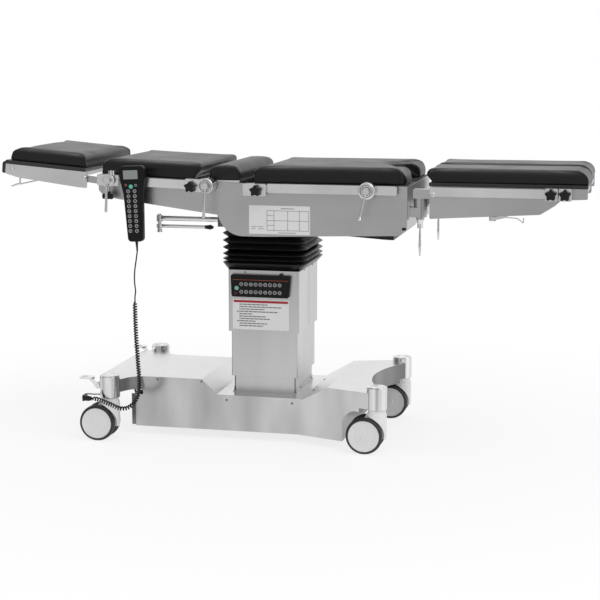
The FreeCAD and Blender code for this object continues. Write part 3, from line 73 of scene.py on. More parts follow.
def add(tree, kind, *values, **named):
    """A new node. Values go to its first sockets, capital names are other sockets, small ones settings."""
    node = tree.nodes.new(kind)
    for name, value in named.items():
        if name.islower():
            setattr(node, name, value)
    sockets = list(zip(node.inputs, values))
    sockets += [(node.inputs[name.replace("_", " ")], value) for name, value in named.items()
                if not name.islower()]
    for socket, value in sockets:
        if isinstance(value, bpy.types.NodeSocket):
            tree.links.new(value, socket)
        else:
            socket.default_value = value
    return node


def math_of(tree, operation, *values):
    return add(tree, "ShaderNodeMath", *values, operation=operation).outputs[0]


class Finish:
    """A Principled material that noise, bump and soft edges are added to."""

    def __init__(self, name, colour, roughness, metallic=0.0, **sockets):
        self.material = bpy.data.materials.new(name)
        self.material.use_nodes = True
        self.tree = self.material.node_tree
        self.shader = self.tree.nodes["Principled BSDF"]
        self.colour = (*colour, 1)
        self.normal = None
        sockets.update(Base_Color=self.colour, Roughness=roughness, Metallic=metallic)
        for socket, value in sockets.items():
            self.shader.inputs[socket.replace("_", " ")].default_value = value

    def add(self, kind, *values, **named):
        return add(self.tree, kind, *values, **named)

    def link(self, out, socket):
        self.tree.links.new(out, self.shader.inputs[socket])

    def noise(self, scale, stretch=(1, 1, 1), detail=4.0):
        """Noise in the part's own place, squeezed along each axis by stretch."""
        place = self.add("ShaderNodeTexCoord").outputs["Object"]
        mapping = self.add("ShaderNodeMapping", place, Scale=stretch)
        noise = self.add("ShaderNodeTexNoise", mapping.outputs[0], Scale=scale, Detail=detail)
        return noise.outputs["Fac"]

    def spread(self, factor, low, high):
        """The factor's middle part drawn out to run from low to high."""
        return self.add("ShaderNodeMapRange", factor, From_Min=0.3, From_Max=0.7, To_Min=low,
                        To_Max=high).outputs["Result"]

    def vary(self, factor, dark, light):
        """Colour between dark and light shares of the base colour, multiplied onto what is there."""
        links = self.shader.inputs["Base Color"].links
        before = links[0].from_socket if links else self.colour
        mix = self.add("ShaderNodeMix", 1.0, data_type="RGBA", blend_type="MULTIPLY", A=before,
                       B=self.spread(factor, dark, light))
        self.link(mix.outputs["Result"], "Base Color")

    def vary_roughness(self, factor, low, high):
        self.link(self.spread(factor, low, high), "Roughness")

    def soft_edges(self, radius):
        self.normal = self.add("ShaderNodeBevel", radius, samples=4).outputs["Normal"]
        self.link(self.normal, "Normal")

    def bump(self, factor, strength, distance):
        bump = self.add("ShaderNodeBump", Strength=strength, Distance=distance, Height=factor)
        if self.normal is not None:
            self.tree.links.new(self.normal, bump.inputs["Normal"])
        self.normal = bump.outputs["Normal"]
        self.link(self.normal, "Normal")


# Camera, light and floor

CAMERA_PLACE = Vector((1.3078, -5.2447, 1.3552))
CAMERA_AIM = Vector((0.095, 0.0, 0.466))
CAMERA_LENS = 93.0
FLOOR_RADIUS = 2.6
FLOOR_SHADE = 0.96
FLOOR_GLOW_NEAR = 0.80    # how much of the floor's own shade gives way to white under the object
FLOOR_GLOW_REACH = (0.9, 2.1)   # distances between which the rest gives way, so no edge shows
FILL = 0.70               # light from all round
KEY = 0.80                # soft sun from the right
KEY_ANGLE = 50
KEY_TRAVEL = Vector((-0.55, 0.25, -0.8))
# Paleness of the studio in a reflection, by degrees from -Y
STUDIO = ((-180, 1.0), (-100, 1.0), (-74, 0.14), (-56, 0.14), (-44, 0.62), (14, 0.62),
          (22, 0.12), (36, 0.12), (46, 0.75), (100, 1.0), (180, 1.0))


def placed(name, data):
    """A new object in the scene."""
    obj = bpy.data.objects.new(name, data)
    bpy.context.scene.collection.objects.link(obj)
    return obj


def make_camera():
    data = bpy.data.cameras.new("camera")
    data.lens = CAMERA_LENS
    data.clip_end = 100
    camera = placed("camera", data)
    camera.location = CAMERA_PLACE
    camera.rotation_euler = (CAMERA_AIM - CAMERA_PLACE).to_track_quat("-Z", "Y").to_euler()
    bpy.context.scene.camera = camera


def seen_rays(tree):
    """1 for the rays that show a thing: straight, in a reflection or through glass."""
    rays = add(tree, "ShaderNodeLightPath").outputs
    mirrored = math_of(tree, "MAXIMUM", rays["Is Camera Ray"], rays["Is Glossy Ray"])
    return math_of(tree, "MAXIMUM", mirrored, rays["Is Transmission Ray"])


def studio_shade(tree):
    """Paleness of the studio in the direction that a ray looks in."""
    direction = add(tree, "ShaderNodeTexCoord").outputs["Generated"]
    parts = add(tree, "ShaderNodeSeparateXYZ", direction).outputs
    bearing = math_of(tree, "ARCTAN2", parts["X"], math_of(tree, "MULTIPLY", parts["Y"], -1.0))
    share = add(tree, "ShaderNodeMapRange", bearing, From_Min=-math.pi, From_Max=math.pi)
    ramp = add(tree, "ShaderNodeValToRGB", share.outputs["Result"])
    stops = ramp.color_ramp.elements
    for number, (degrees, shade) in enumerate(STUDIO):
        stop = stops[number] if number < 2 else stops.new(1.0)
        stop.position = degrees / 360 + 0.5
        stop.color = (shade, shade, shade, 1)
    return ramp.outputs["Color"]


def make_world():
    """White behind the object; a reflection sees a pale studio, greyer in front, with two dark screens."""
    world = bpy.data.worlds.new("studio")
    world.use_nodes = True
    tree = world.node_tree
    tree.nodes.clear()
    straight = add(tree, "ShaderNodeLightPath").outputs["Is Camera Ray"]
    strength = math_of(tree, "MAXIMUM", studio_shade(tree), straight)
    fill = add(tree, "ShaderNodeBackground", (1, 1, 1, 1), FILL)
    shown = add(tree, "ShaderNodeBackground", (1, 1, 1, 1), strength)
    mix = add(tree, "ShaderNodeMixShader", seen_rays(tree), fill.outputs[0], shown.outputs[0])
    add(tree, "ShaderNodeOutputWorld", mix.outputs[0])
    bpy.context.scene.world = world


def make_light():
    sun = bpy.data.lights.new("key", "SUN")
    sun.energy = KEY
    sun.angle = math.radians(KEY_ANGLE)
    lamp = placed("key", sun)
    lamp.rotation_euler = KEY_TRAVEL.to_track_quat("-Z", "Y").to_euler()


def make_floor():
    bm = bmesh.new()
    bmesh.ops.create_circle(bm, cap_ends=True, radius=FLOOR_RADIUS, segments=96)
    mesh = bpy.data.meshes.new("floor")
    bm.to_mesh(mesh)
    bm.free()
    floor = placed("floor", mesh)
    finish = Finish("floor_paint", (FLOOR_SHADE, FLOOR_SHADE, FLOOR_SHADE), 0.85, Specular_IOR_Level=0.1)
    whiten_floor(finish.tree, finish.shader)
    mesh.materials.append(finish.material)


def whiten_floor(tree, shader):
    """The floor keeps a faint shadow near the object and turns into the white background further out."""
    place = add(tree, "ShaderNodeTexCoord").outputs["Object"]
    far = add(tree, "ShaderNodeVectorMath", place, operation="LENGTH").outputs["Value"]
    share = add(tree, "ShaderNodeMapRange", far, interpolation_type="SMOOTHSTEP", To_Min=FLOOR_GLOW_NEAR,
                From_Min=FLOOR_GLOW_REACH[0], From_Max=FLOOR_GLOW_REACH[1])
    shown = math_of(tree, "MULTIPLY", share.outputs["Result"], seen_rays(tree))
    glow = add(tree, "ShaderNodeEmission")
    mix = add(tree, "ShaderNodeMixShader", shown, shader.outputs[0], glow.outputs[0])
    tree.links.new(mix.outputs[0], tree.nodes["Material Output"].inputs["Surface"])


bpy.context.scene.view_settings.view_transform = "Standard"
make_camera()
make_world()
make_light()
make_floor()


# Materials

# Size of the painted reflection clouds in the steels, and of their brush lines
PAINTED_REFLECTION_SCALE, BRUSH_SCALE = 3.2, 60.0
BRUSH_BUMP = 0.06
GRAIN_HEIGHT = 0.0004
EDGE_RADIUS = 0.0008
LEATHER_CELLS, PLASTIC_SPECKLE = 620.0, 380.0


def brushed_steel(name, grey, roughness, grain, reflection_stretch, depth=0.1, streak=0.04):
    """Satin steel: grain squeezes the brush lines along each axis; the other stretch squeezes soft light and
    dark clouds in the colour, a painted reflection, and depth sets how strong they are.
    """
    finish = Finish(name, (grey, grey, grey), roughness, 1.0)
    # painted reflection: soft light and dark clouds in the colour
    finish.vary(finish.noise(PAINTED_REFLECTION_SCALE, reflection_stretch, 2.0), 1 - depth, 1 + depth * 0.8)
    lines = finish.noise(BRUSH_SCALE, grain, 3.0)
    finish.vary(lines, 1 - streak, 1 + streak)
    finish.vary_roughness(lines, roughness * 0.85, roughness * 1.15)
    finish.soft_edges(EDGE_RADIUS)
    finish.bump(lines, BRUSH_BUMP, GRAIN_HEIGHT)
    return finish.material


def polished_steel(name, grey):
    finish = Finish(name, (grey, grey, grey), 0.16, 1.0)
    wear = finish.noise(90.0)
    finish.vary(wear, 0.93, 1.03)
    finish.vary_roughness(wear, 0.12, 0.22)
    finish.soft_edges(0.0006)
    return finish.material


def painted_steel():
    finish = Finish("frame_paint", (0.12, 0.12, 0.125), 0.5)
    grain = finish.noise(240.0)
    finish.vary(grain, 0.85, 1.1)
    finish.bump(grain, 0.15, GRAIN_HEIGHT)
    return finish.material


def coated_fabric():
    """Black coated cover: fine leathery grain, a slow change of tone and a soft sheen."""
    finish = Finish("coated_fabric", (0.0065, 0.0065, 0.007), 0.34, Specular_IOR_Level=0.34,
                    Sheen_Weight=0.12, Sheen_Roughness=0.3)
    slow = finish.noise(7.0, (1, 1, 1), 3.0)
    finish.vary(slow, 0.8, 1.25)
    finish.vary_roughness(slow, 0.34, 0.44)
    finish.bump(slow, 0.12, 0.004)
    place = finish.add("ShaderNodeTexCoord").outputs["Object"]
    cell = finish.add("ShaderNodeTexVoronoi", place, feature="DISTANCE_TO_EDGE", Scale=LEATHER_CELLS)
    finish.bump(cell.outputs["Distance"], 0.25, 0.0005)
    return finish.material


def rubber(name, grey, roughness):
    finish = Finish(name, (grey, grey, grey), roughness)
    grain = finish.noise(160.0)
    finish.vary(grain, 0.8, 1.2)
    finish.vary_roughness(grain, roughness * 0.85, roughness * 1.2)
    finish.bump(grain, 0.12, GRAIN_HEIGHT)
    return finish.material


def plastic(name, colour, roughness, **sockets):
    finish = Finish(name, colour, roughness, **sockets)
    speckle = finish.noise(PLASTIC_SPECKLE)
    finish.vary(speckle, 0.95, 1.04)
    finish.vary_roughness(speckle, roughness * 0.9, roughness * 1.12)
    finish.soft_edges(EDGE_RADIUS)
    finish.bump(speckle, 0.08, 0.0002)
    return finish.material


ALONG, UPRIGHT = (0.15, 4, 14), (14, 4, 0.15)
CASING_STEEL = brushed_steel("casing_steel", 0.53, 0.34, ALONG, (1.0, 1.0, 1.6))
RAIL_STEEL = brushed_steel("rail_steel", 0.80, 0.26, ALONG, (1.6, 1.0, 1.0))
COLUMN_STEEL = brushed_steel("column_steel", 0.56, 0.32, UPRIGHT, (2.2, 1.4, 0.5), 0.08, 0.02)
# The base cover's steel in two copies: a lighter one for its top and a darker one for its walls, painted
# light and shade
BASE_TOP_LIT_STEEL = brushed_steel("base_top_lit_steel", 0.74, 0.30, ALONG, (1.4, 1.2, 1.0), 0.05, 0.02)
BASE_WALL_SHADED_STEEL = brushed_steel("base_wall_shaded_steel", 0.52, 0.24, UPRIGHT, (2.2, 1.6, 0.6), 0.26, 0.02)
# A dark copy of the steel for the recesses and hollows of the base: painted shade
RECESS_SHADE_STEEL = brushed_steel("recess_painted_shade_steel", 0.26, 0.32, UPRIGHT, (2.0, 2.0, 1.0), 0.2)
# The housing steel's clouds are tall, narrow and deep: painted reflection stripes round the drums
HOUSING_STEEL = brushed_steel("housing_steel", 0.66, 0.15, (14, 14, 0.4), (14.0, 14.0, 0.2), 0.55, 0.02)
# A lighter copy of the casing steel for the head frame: painted light on its sides
HEAD_LIT_STEEL = brushed_steel("head_lit_steel", 0.76, 0.32, ALONG, (1.0, 1.0, 1.6))
CHROME = polished_steel("polished_steel", 0.74)
SCREW_STEEL = polished_steel("screw_steel", 0.20)
FRAME_PAINT = painted_steel()
UPHOLSTERY = coated_fabric()
BELLOWS_RUBBER = rubber("bellows_rubber", 0.007, 0.33)
TYRE_RUBBER = rubber("tyre_rubber", 0.025, 0.55)
CORD_RUBBER = rubber("cord_rubber", 0.006, 0.55)
BLACK_PLASTIC = plastic("black_plastic", (0.008, 0.008, 0.0085), 0.42, Specular_IOR_Level=0.3)
LAMINATE = plastic("black_laminate", (0.025, 0.025, 0.026), 0.4)
HANDSET_PLASTIC = plastic("handset_plastic", (0.006, 0.006, 0.007), 0.42, Specular_IOR_Level=0.2)
PANEL_GLOSS = plastic("panel_gloss", (0.006, 0.005, 0.005), 0.25, Specular_IOR_Level=0.2)
SEAM_BLACK = plastic("seam_black", (0.010, 0.010, 0.010), 0.6)
WHITE_PLASTIC = plastic("white_plastic", (0.86, 0.86, 0.86), 0.28)
DISC_PLASTIC = plastic("disc_plastic", (0.80, 0.80, 0.80), 0.34)
LABEL_FILM = plastic("label_film", (0.78, 0.78, 0.78), 0.4)
LABEL_INK = plastic("label_ink", (0.16, 0.16, 0.165), 0.5)
RED_INK = plastic("red_ink", (0.42, 0.012, 0.03), 0.4)
LINE_INK = plastic("line_ink", (0.42, 0.08, 0.03), 0.4)
KEY_PRINT = plastic("key_print", (0.50, 0.51, 0.52), 0.4)
KEY_GREEN = plastic("key_green", (0.10, 0.52, 0.38), 0.35)
KEY_RED = plastic("key_red", (0.22, 0.05, 0.045), 0.4)
SCREEN = plastic("screen", (0.26, 0.28, 0.27), 0.18)


# Mesh helpers

def box_into(bm, x0, x1, y0, y1, z0, z1):
    corners = [bm.verts.new((x, y, z)) for x in (x0, x1) for y in (y0, y1) for z in (z0, z1)]
    for face in ((0, 1, 3, 2), (4, 6, 7, 5), (0, 4, 5, 1), (2, 3, 7, 6), (0, 2, 6, 4), (1, 5, 7, 3)):
        bm.faces.new([corners[i] for i in face])


def rounded(corners, steps=5):
    """Outline points of a polygon whose corner (a, b, r) is rounded to radius r."""
    points = []
    for i, corner in enumerate(corners):
        here = Vector(corner[:2])
        if len(corner) < 3 or corner[2] <= 0:
            points.append(here)
            continue
        radius = corner[2]
        before = (Vector(corners[i - 1][:2]) - here).normalized()
        after = (Vector(corners[(i + 1) % len(corners)][:2]) - here).normalized()
        half = before.angle(after) / 2
        centre = here + (before + after).normalized() * (radius / math.sin(half))
        start = here + before * (radius / math.tan(half)) - centre
        end = here + after * (radius / math.tan(half)) - centre
        turn = start.angle_signed(end)
        for k in range(steps + 1):
            points.append(centre + Matrix.Rotation(-turn * k / steps, 2) @ start)
    return points


def rectangle(x0, x1, z0, z1, radius=0):
    return [(x, z, radius) for x, z in ((x0, z0), (x1, z0), (x1, z1), (x0, z1))]


def plate_into(bm, corners, a, b, plane="xz", steps=5):
    """A flat plate: an outline drawn in a plane and drawn out from a to b across it."""
    place = {"xz": lambda p, d: (p.x, d, p.y), "yz": lambda p, d: (d, p.x, p.y)}[plane]
    outline = rounded(corners, steps)
    low = [bm.verts.new(place(p, a)) for p in outline]
    high = [bm.verts.new(place(p, b)) for p in outline]
    bm.faces.new(low)
    bm.faces.new(high)
    for i in range(len(outline)):
        j = (i + 1) % len(outline)
        bm.faces.new((low[i], low[j], high[j], high[i]))


def lathe_into(bm, centre, axis, profile, segments=32):
    """A turned form: profile is (distance along the axis, radius), from end to end."""
    turn = Vector((0, 0, 1)).rotation_difference(Vector(axis)).to_matrix()
    rings = []
    for along, radius in profile:
        if radius < 1e-6:
            rings.append([bm.verts.new(Vector(centre) + turn @ Vector((0, 0, along)))])
            continue
        ring = []
        for i in range(segments):
            angle = math.tau * i / segments
            spoke = Vector((radius * math.cos(angle), radius * math.sin(angle), along))
            ring.append(bm.verts.new(Vector(centre) + turn @ spoke))
        rings.append(ring)
    for low, high in zip(rings, rings[1:]):
        join_rings(bm, low, high)
    for ring in (rings[0], rings[-1]):
        if len(ring) > 1:
            bm.faces.new(ring)


def join_rings(bm, low, high):
    count = max(len(low), len(high))
    for i in range(count):
        j = (i + 1) % count
        corners = [low[i % len(low)], low[j % len(low)], high[j % len(high)], high[i % len(high)]]
        bm.faces.new(list(dict.fromkeys(corners)))


def tube_rings(points):
    """A frame (side, up) at each point of a line, carried along it without twist."""
    frames = []
    up = None
    for i, point in enumerate(points):
        ahead = (points[min(i + 1, len(points) - 1)] - points[max(i - 1, 0)]).normalized()
        if up is None:
            up = ahead.orthogonal().normalized()
        up = (up - ahead * up.dot(ahead)).normalized()
        frames.append((ahead.cross(up), up))
    return frames


def tube_into(bm, points, radius, frames, sides=8):
    rings = []
    for point, (side, up) in zip(points, frames):
        ring = []
        for k in range(sides):
            angle = math.tau * k / sides
            ring.append(bm.verts.new(point + radius * (math.cos(angle) * side + math.sin(angle) * up)))
        rings.append(ring)
    for low, high in zip(rings, rings[1:]):
        join_rings(bm, low, high)
    bm.faces.new(rings[0])
    bm.faces.new(rings[-1])


def modify(obj, kind, **settings):
    """Adds a modifier with these settings."""
    change = obj.modifiers.new(kind.lower(), kind)
    for name, value in settings.items():
        setattr(change, name, value)
    return change


def shade(mesh, degrees):
    """Smooth shading with sharp edges where faces meet at more than an angle."""
    mesh.shade_smooth()
    mesh.set_sharp_from_angle(angle=math.radians(degrees))


def piece(name, bm, body, material, place=LEVEL, smooth=35.0, bevel=0.0):
    """Makes a piece of the object from a mesh in the making, which rides on a body."""
    bmesh.ops.transform(bm, matrix=place, verts=bm.verts)
    bmesh.ops.recalc_face_normals(bm, faces=bm.faces)
    mesh = bpy.data.meshes.new(name)
    bm.to_mesh(mesh)
    bm.free()
    mesh.materials.append(material)
    shade(mesh, smooth)
    obj = placed(name, mesh)
    if bevel:
        modify(obj, "BEVEL", width=bevel, segments=3, limit_method="ANGLE", angle_limit=math.radians(40),
               harden_normals=True)
    if body:
        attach(obj, body)
    return obj


def zone(material, name, inside):
    """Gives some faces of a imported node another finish; inside says which, from a face."""
    mesh = NODES[name].data
    mesh.materials.append(material)
    for face in mesh.polygons:
        if inside(face):
            face.material_index = len(mesh.materials) - 1


def dress(material, *starts):
    """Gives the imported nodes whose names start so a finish."""
    for name, node in NODES.items():
        if name.startswith(starts):
            for i in range(len(node.data.materials)):
                node.data.materials[i] = material
            if not node.data.materials:
                node.data.materials.append(material)


# Cords: a thin lead from the handset, then a curly stretch down to the plug on the base

COIL_ROUTE = [(-0.564, -0.335, 0.152), (-0.546, -0.335, 0.152), (-0.528, -0.337, 0.148),
              (-0.509, -0.340, 0.1415), (-0.487, -0.343, 0.1355), (-0.459, -0.345, 0.1235),
              (-0.430, -0.342, 0.126), (-0.408, -0.335, 0.144), (-0.397, -0.326, 0.170),
              (-0.395, -0.318, 0.199), (-0.398, -0.311, 0.231), (-0.403, -0.305, 0.267),
              (-0.406, -0.301, 0.308), (-0.410, -0.299, 0.353), (-0.412, -0.2975, 0.401),
              (-0.4135, -0.296, 0.447), (-0.414, -0.295, 0.490)]
LEAD_ROUTE = [(-0.414, -0.295, 0.490), (-0.4142, -0.2946, 0.506), (-0.411, -0.293, 0.525),
              (-0.415, -0.292, 0.548), (-0.416, -0.2915, 0.575), (-0.413, -0.291, 0.606),
              (-0.408, -0.290, 0.636), (-0.4045, -0.290, 0.6614)]
COIL_RADIUS = 0.0083      # outside of the curls
WIRE_RADIUS = 0.0025      # wire in the curly stretch
LEAD_RADIUS = 0.0024
CURL_PITCH = 0.0090
CURL_STEPS = 16
CURL_RUN_IN = 1.5         # turns in which the curls grow to their full size
COIL_SPLIT_Z = 0.350      # the curly stretch is cut here into a lower and an upper piece
LEAD_SPLITS = (0.541, 0.616)


def smooth_line(route):
    """Points of the smooth line whose control points are the route."""
    curve = bpy.data.curves.new("route", "CURVE")
    curve.dimensions = "3D"
    curve.resolution_u = 16
    spline = curve.splines.new("NURBS")
    spline.points.add(len(route) - 1)
    for point, place in zip(spline.points, route):
        point.co = (*place, 1)
    spline.order_u = 3
    spline.use_endpoint_u = True
    holder = bpy.data.objects.new("route", curve)
    mesh = bpy.data.meshes.new_from_object(holder)
    points = [v.co.copy() for v in mesh.vertices]
    bpy.data.objects.remove(holder)
    bpy.data.meshes.remove(mesh)
    bpy.data.curves.remove(curve)
    return points


def line_length(points):
    return sum((b - a).length for a, b in zip(points, points[1:]))


def spaced(points, count):
    """The line's points again, count of them, evenly spaced."""
    total = line_length(points)
    out, i, done = [points[0].copy()], 0, 0.0
    for k in range(1, count - 1):
        want = total * k / (count - 1)
        while done + (points[i + 1] - points[i]).length < want:
            done += (points[i + 1] - points[i]).length
            i += 1
        step = points[i + 1] - points[i]
        out.append(points[i] + step * ((want - done) / step.length))
    out.append(points[-1].copy())
    return out


def curls(points):
    """The curly wire's own line round a smooth line."""
    turns = line_length(points) / CURL_PITCH
    count = int(turns * CURL_STEPS) + 1
    line = spaced(points, count)
    frames = tube_rings(line)
    out = []
    for i, (point, (side, up)) in enumerate(zip(line, frames)):
        turn = i / CURL_STEPS
        grown = min(1.0, turn / CURL_RUN_IN, (turns - turn) / CURL_RUN_IN)
        grown = max(0.0, grown)
        reach = (COIL_RADIUS - WIRE_RADIUS) * math.sin(grown * math.pi / 2)
        angle = math.tau * turn
        out.append(point + reach * (math.cos(angle) * side + math.sin(angle) * up))
    return out


def cord_piece(name, points, frames, radius, exit_point, start, end, bodies, **facts):
    """A stretch of cord: a tube along the points."""
    bm = bmesh.new()
    tube_into(bm, points, radius, frames)
    obj = piece(name, bm, None, CORD_RUBBER, smooth=80.0)
    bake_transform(obj)
    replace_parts(obj, "handset_cord")
    return obj


def make_cord():
    wire = curls(smooth_line(COIL_ROUTE))
    wire_frames = tube_rings(wire)
    split = max(i for i, p in enumerate(wire) if p.z < COIL_SPLIT_Z)
    top, foot = wire[-1], wire[0]
    cord_piece("handset_coil_lower", wire[:split + 1], wire_frames[:split + 1], WIRE_RADIUS, wire[split],
               foot, wire[split], ("base", "column"), far_end="plug", with_pieces=[NODES["cord_plug"]])
    cord_piece("handset_coil_upper", wire[split:], wire_frames[split:], WIRE_RADIUS, top,
               (top.x, top.y, COIL_SPLIT_Z), top, ("column", "gimbal"), far_end="object")
    lead = spaced(smooth_line(LEAD_ROUTE), 60)
    lead_frames = tube_rings(lead)
    splits = [max(i for i, p in enumerate(lead) if p.z < z) for z in LEAD_SPLITS]
    for a, b, name, bodies in zip([0] + splits, splits + [len(lead) - 1], ("lower", "middle", "upper"),
                                  (("gimbal", "seat"), ("seat", "back"), ("back", "handset"))):
        cord_piece("handset_lead_" + name, lead[a:b + 1], lead_frames[a:b + 1], LEAD_RADIUS, lead[b],
                   lead[a], lead[b], bodies, far_end="object")


make_cord()


# Pads

PAD_VOXEL = 0.006
PAD_CLOTH = {"quality": 4, "vertex_group_mass": "held", "use_pressure": True, "uniform_pressure_force": 4.0,
             "tension_stiffness": 20.0, "bending_stiffness": 2.0}
PAD_SHRINK = 0.0022
PAD_FRAMES = 20
PAD_SWELL = 0.0045        # no point moves further than this


def solids_of(name):
    """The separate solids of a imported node, each as a mesh in the making, lowest first."""
    whole = bmesh.new()
    whole.from_mesh(NODES[name].data)
    bmesh.ops.remove_doubles(whole, verts=whole.verts, dist=1e-6)
    whole.verts.index_update()
    groups = []
    for start in whole.verts:
        if any(start.index in group for group in groups):
            continue
        group, waiting = {start.index}, [start]
        while waiting:
            for vert in [v for edge in waiting.pop().link_edges for v in edge.verts]:
                if vert.index not in group:
                    group.add(vert.index)
                    waiting.append(vert)
        groups.append(group)
    out = []
    for group in groups:
        part = whole.copy()
        spare = [v for v in part.verts if v.index not in group]
        bmesh.ops.delete(part, geom=spare, context="VERTS")
        out.append(part)
    whole.free()
    return sorted(out, key=lambda b: sum(v.co.z for v in b.verts) / len(b.verts))


def remesh(obj):
    modify(obj, "REMESH", mode="VOXEL", voxel_size=PAD_VOXEL)
    apply_modifiers(obj)


def with_modifiers(obj):
    return obj.evaluated_get(bpy.context.evaluated_depsgraph_get())


def apply_modifiers(obj):
    """Puts what the modifiers make into the piece's own mesh, and takes them off."""
    made = bpy.data.meshes.new_from_object(with_modifiers(obj))
    obj.modifiers.clear()
    old = obj.data
    obj.data = made
    bpy.data.meshes.remove(old)


def stuff(obj, held_z):
    """Swells a pad as its stuffing does, while the underside stays on its board."""
    rest = [v.co.copy() for v in obj.data.vertices]
    held = obj.vertex_groups.new(name="held")
    held.add([i for i, co in enumerate(rest) if co.z < held_z], 1.0, "REPLACE")
    cloth = modify(obj, "CLOTH")
    for setting, value in PAD_CLOTH.items():
        setattr(cloth.settings, setting, value)
    cloth.settings.effector_weights.gravity = 0.0
    cloth.point_cache.frame_start = 1
    cloth.point_cache.frame_end = PAD_FRAMES
    scene = bpy.context.scene
    for number in range(1, PAD_FRAMES + 1):
        scene.frame_set(number)
    moved = [v.co.copy() for v in with_modifiers(obj).data.vertices]
    obj.modifiers.clear()
    scene.frame_set(1)
    for vert, was, now in zip(obj.data.vertices, rest, moved):
        step = now - was
        if step.length > 1e-9:
            vert.co = was + step.normalized() * PAD_SWELL * math.tanh(step.length / PAD_SWELL)


def make_pad(name, node, body, place=LEVEL):
    """A stuffed pad from the plain solid of a node, whose other solids are left to their own pieces."""
    *others, bm = solids_of(node)
    for other in others:
        other.free()
    bmesh.ops.transform(bm, matrix=place.inverted(), verts=bm.verts)
    low = Vector(min(v.co[i] for v in bm.verts) for i in range(3))
    high = Vector(max(v.co[i] for v in bm.verts) for i in range(3))
    still = (low + high) / 2
    still.z = low.z
    for vert in bm.verts:
        for i in range(3):
            vert.co[i] -= PAD_SHRINK * 2 * (vert.co[i] - still[i]) / (high[i] - low[i])
    obj = piece(name, bm, None, UPHOLSTERY, smooth=80.0)
    remesh(obj)
    stuff(obj, low.z + PAD_VOXEL * 0.8)
    obj.data.transform(place)
    obj.data.materials.clear()
    obj.data.materials.append(UPHOLSTERY)
    obj.data.shade_smooth()
    modify(obj, "SUBSURF", levels=1, render_levels=1)
    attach(obj, body)
    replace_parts(obj, node)


def make_board(name, node, body):
    """The board under a pad, which is the lowest solid of the same node."""
    board, *others = solids_of(node)
    for other in others:
        other.free()
    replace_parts(piece(name, board, body, LAMINATE), node)


def make_pads():
    make_pad("head_cushion", "head_pad", "head", ON_HEAD)
    make_pad("back_cushion", "back_pad", "back", ON_BACK)
    make_pad("kidney_cushion", "kidney_pad", "kidney")
    make_pad("seat_cushion", "seat_pad", "seat")
    make_board("head_board", "head_pad", "head")
    for word in ("near", "far"):
        make_pad("leg_cushion_" + word, "leg_pad_" + word, "leg_" + word)
        make_board("leg_board_" + word, "leg_pad_" + word, "leg_" + word)


make_pads()


# Bellows

BELLOWS_HALF_X, BELLOWS_HALF_Y = 0.128, 0.143
PLEAT_DEPTH = 0.022
PLEAT_LIP = 0.0014        # half height of a pleat's thin outer edge
PLEAT_ROUNDING = 0.0012
BELLOWS_CORNER, CORNER_GROWTH = 0.014, 1.5
BELLOWS_SKIN = 0.0016
BELLOWS_FOOT, BELLOWS_SPLIT, BELLOWS_TOP = 0.5883, 0.654, 0.7257
PLEATS_LOW = (0.612, 0.625, 0.642)
PLEATS_HIGH = (0.664, 0.688, 0.713)


def bellows_ring(bm, z, out):
    half_x, half_y = BELLOWS_HALF_X + out, BELLOWS_HALF_Y + out
    corner = BELLOWS_CORNER + out * CORNER_GROWTH
    outline = rounded([(a * half_x, b * half_y, corner) for a, b in ((-1, -1), (1, -1), (1, 1), (-1, 1))], 6)
    return [bm.verts.new((p.x, p.y, z)) for p in outline]


def make_bellows(name, node, z0, z1, pleats):
    bm = bmesh.new()
    levels = [(z0, 0.0)]
    for i, tip in enumerate(pleats):
        edge = PLEAT_DEPTH - PLEAT_ROUNDING
        levels += [(tip - PLEAT_LIP, edge), (tip, PLEAT_DEPTH), (tip + PLEAT_LIP, edge)]
        levels.append((z1 if i == len(pleats) - 1 else (tip + pleats[i + 1]) / 2, 0.0))
    rings = [bellows_ring(bm, z, out) for z, out in levels]
    for low, high in zip(rings, rings[1:]):
        join_rings(bm, low, high)
    obj = piece(name, bm, None, BELLOWS_RUBBER, smooth=50.0)
    modify(obj, "SOLIDIFY", thickness=BELLOWS_SKIN, offset=-1)
    apply_modifiers(obj)
    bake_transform(obj)
    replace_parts(obj, node)


make_bellows("bellows_lower", "lower_bellows", BELLOWS_FOOT, BELLOWS_SPLIT, PLEATS_LOW)
make_bellows("bellows_upper", "upper_bellows", BELLOWS_SPLIT, BELLOWS_TOP, PLEATS_HIGH)


# Casters

CASTERS = {"head_near": (-0.514, -0.285), "head_far": (-0.514, 0.285),
           "foot_near": (0.419, -0.260), "foot_far": (0.419, 0.260)}
TRAIL, WHEEL_RADIUS, WHEEL_INNER, WHEEL_WIDTH = 0.038, 0.0625, 0.014, 0.027
TYRE_SHOULDER, TYRE_SIDE, RIM_RADIUS, RIM_SEAT = 0.0612, 0.0580, 0.0535, 0.046
AXLE_RADIUS, AXLE_PAST = 0.006, 0.004
WEB_HALF, WEB_GAP = 0.012, 0.0005
WELL_RADIUS, WELL_DEPTH = 0.0665, 0.05
HOOD_RADIUS, HOOD_FOOT_Z, HOOD_TOP_Z = 0.0335, 0.050, 0.1385
HUB_ARM = 0.014
STEM_RADIUS, STEM_TOP_Z = 0.012, 0.203
COLLAR_RADIUS, COLLAR_TOP_Z = 0.030, 0.1495


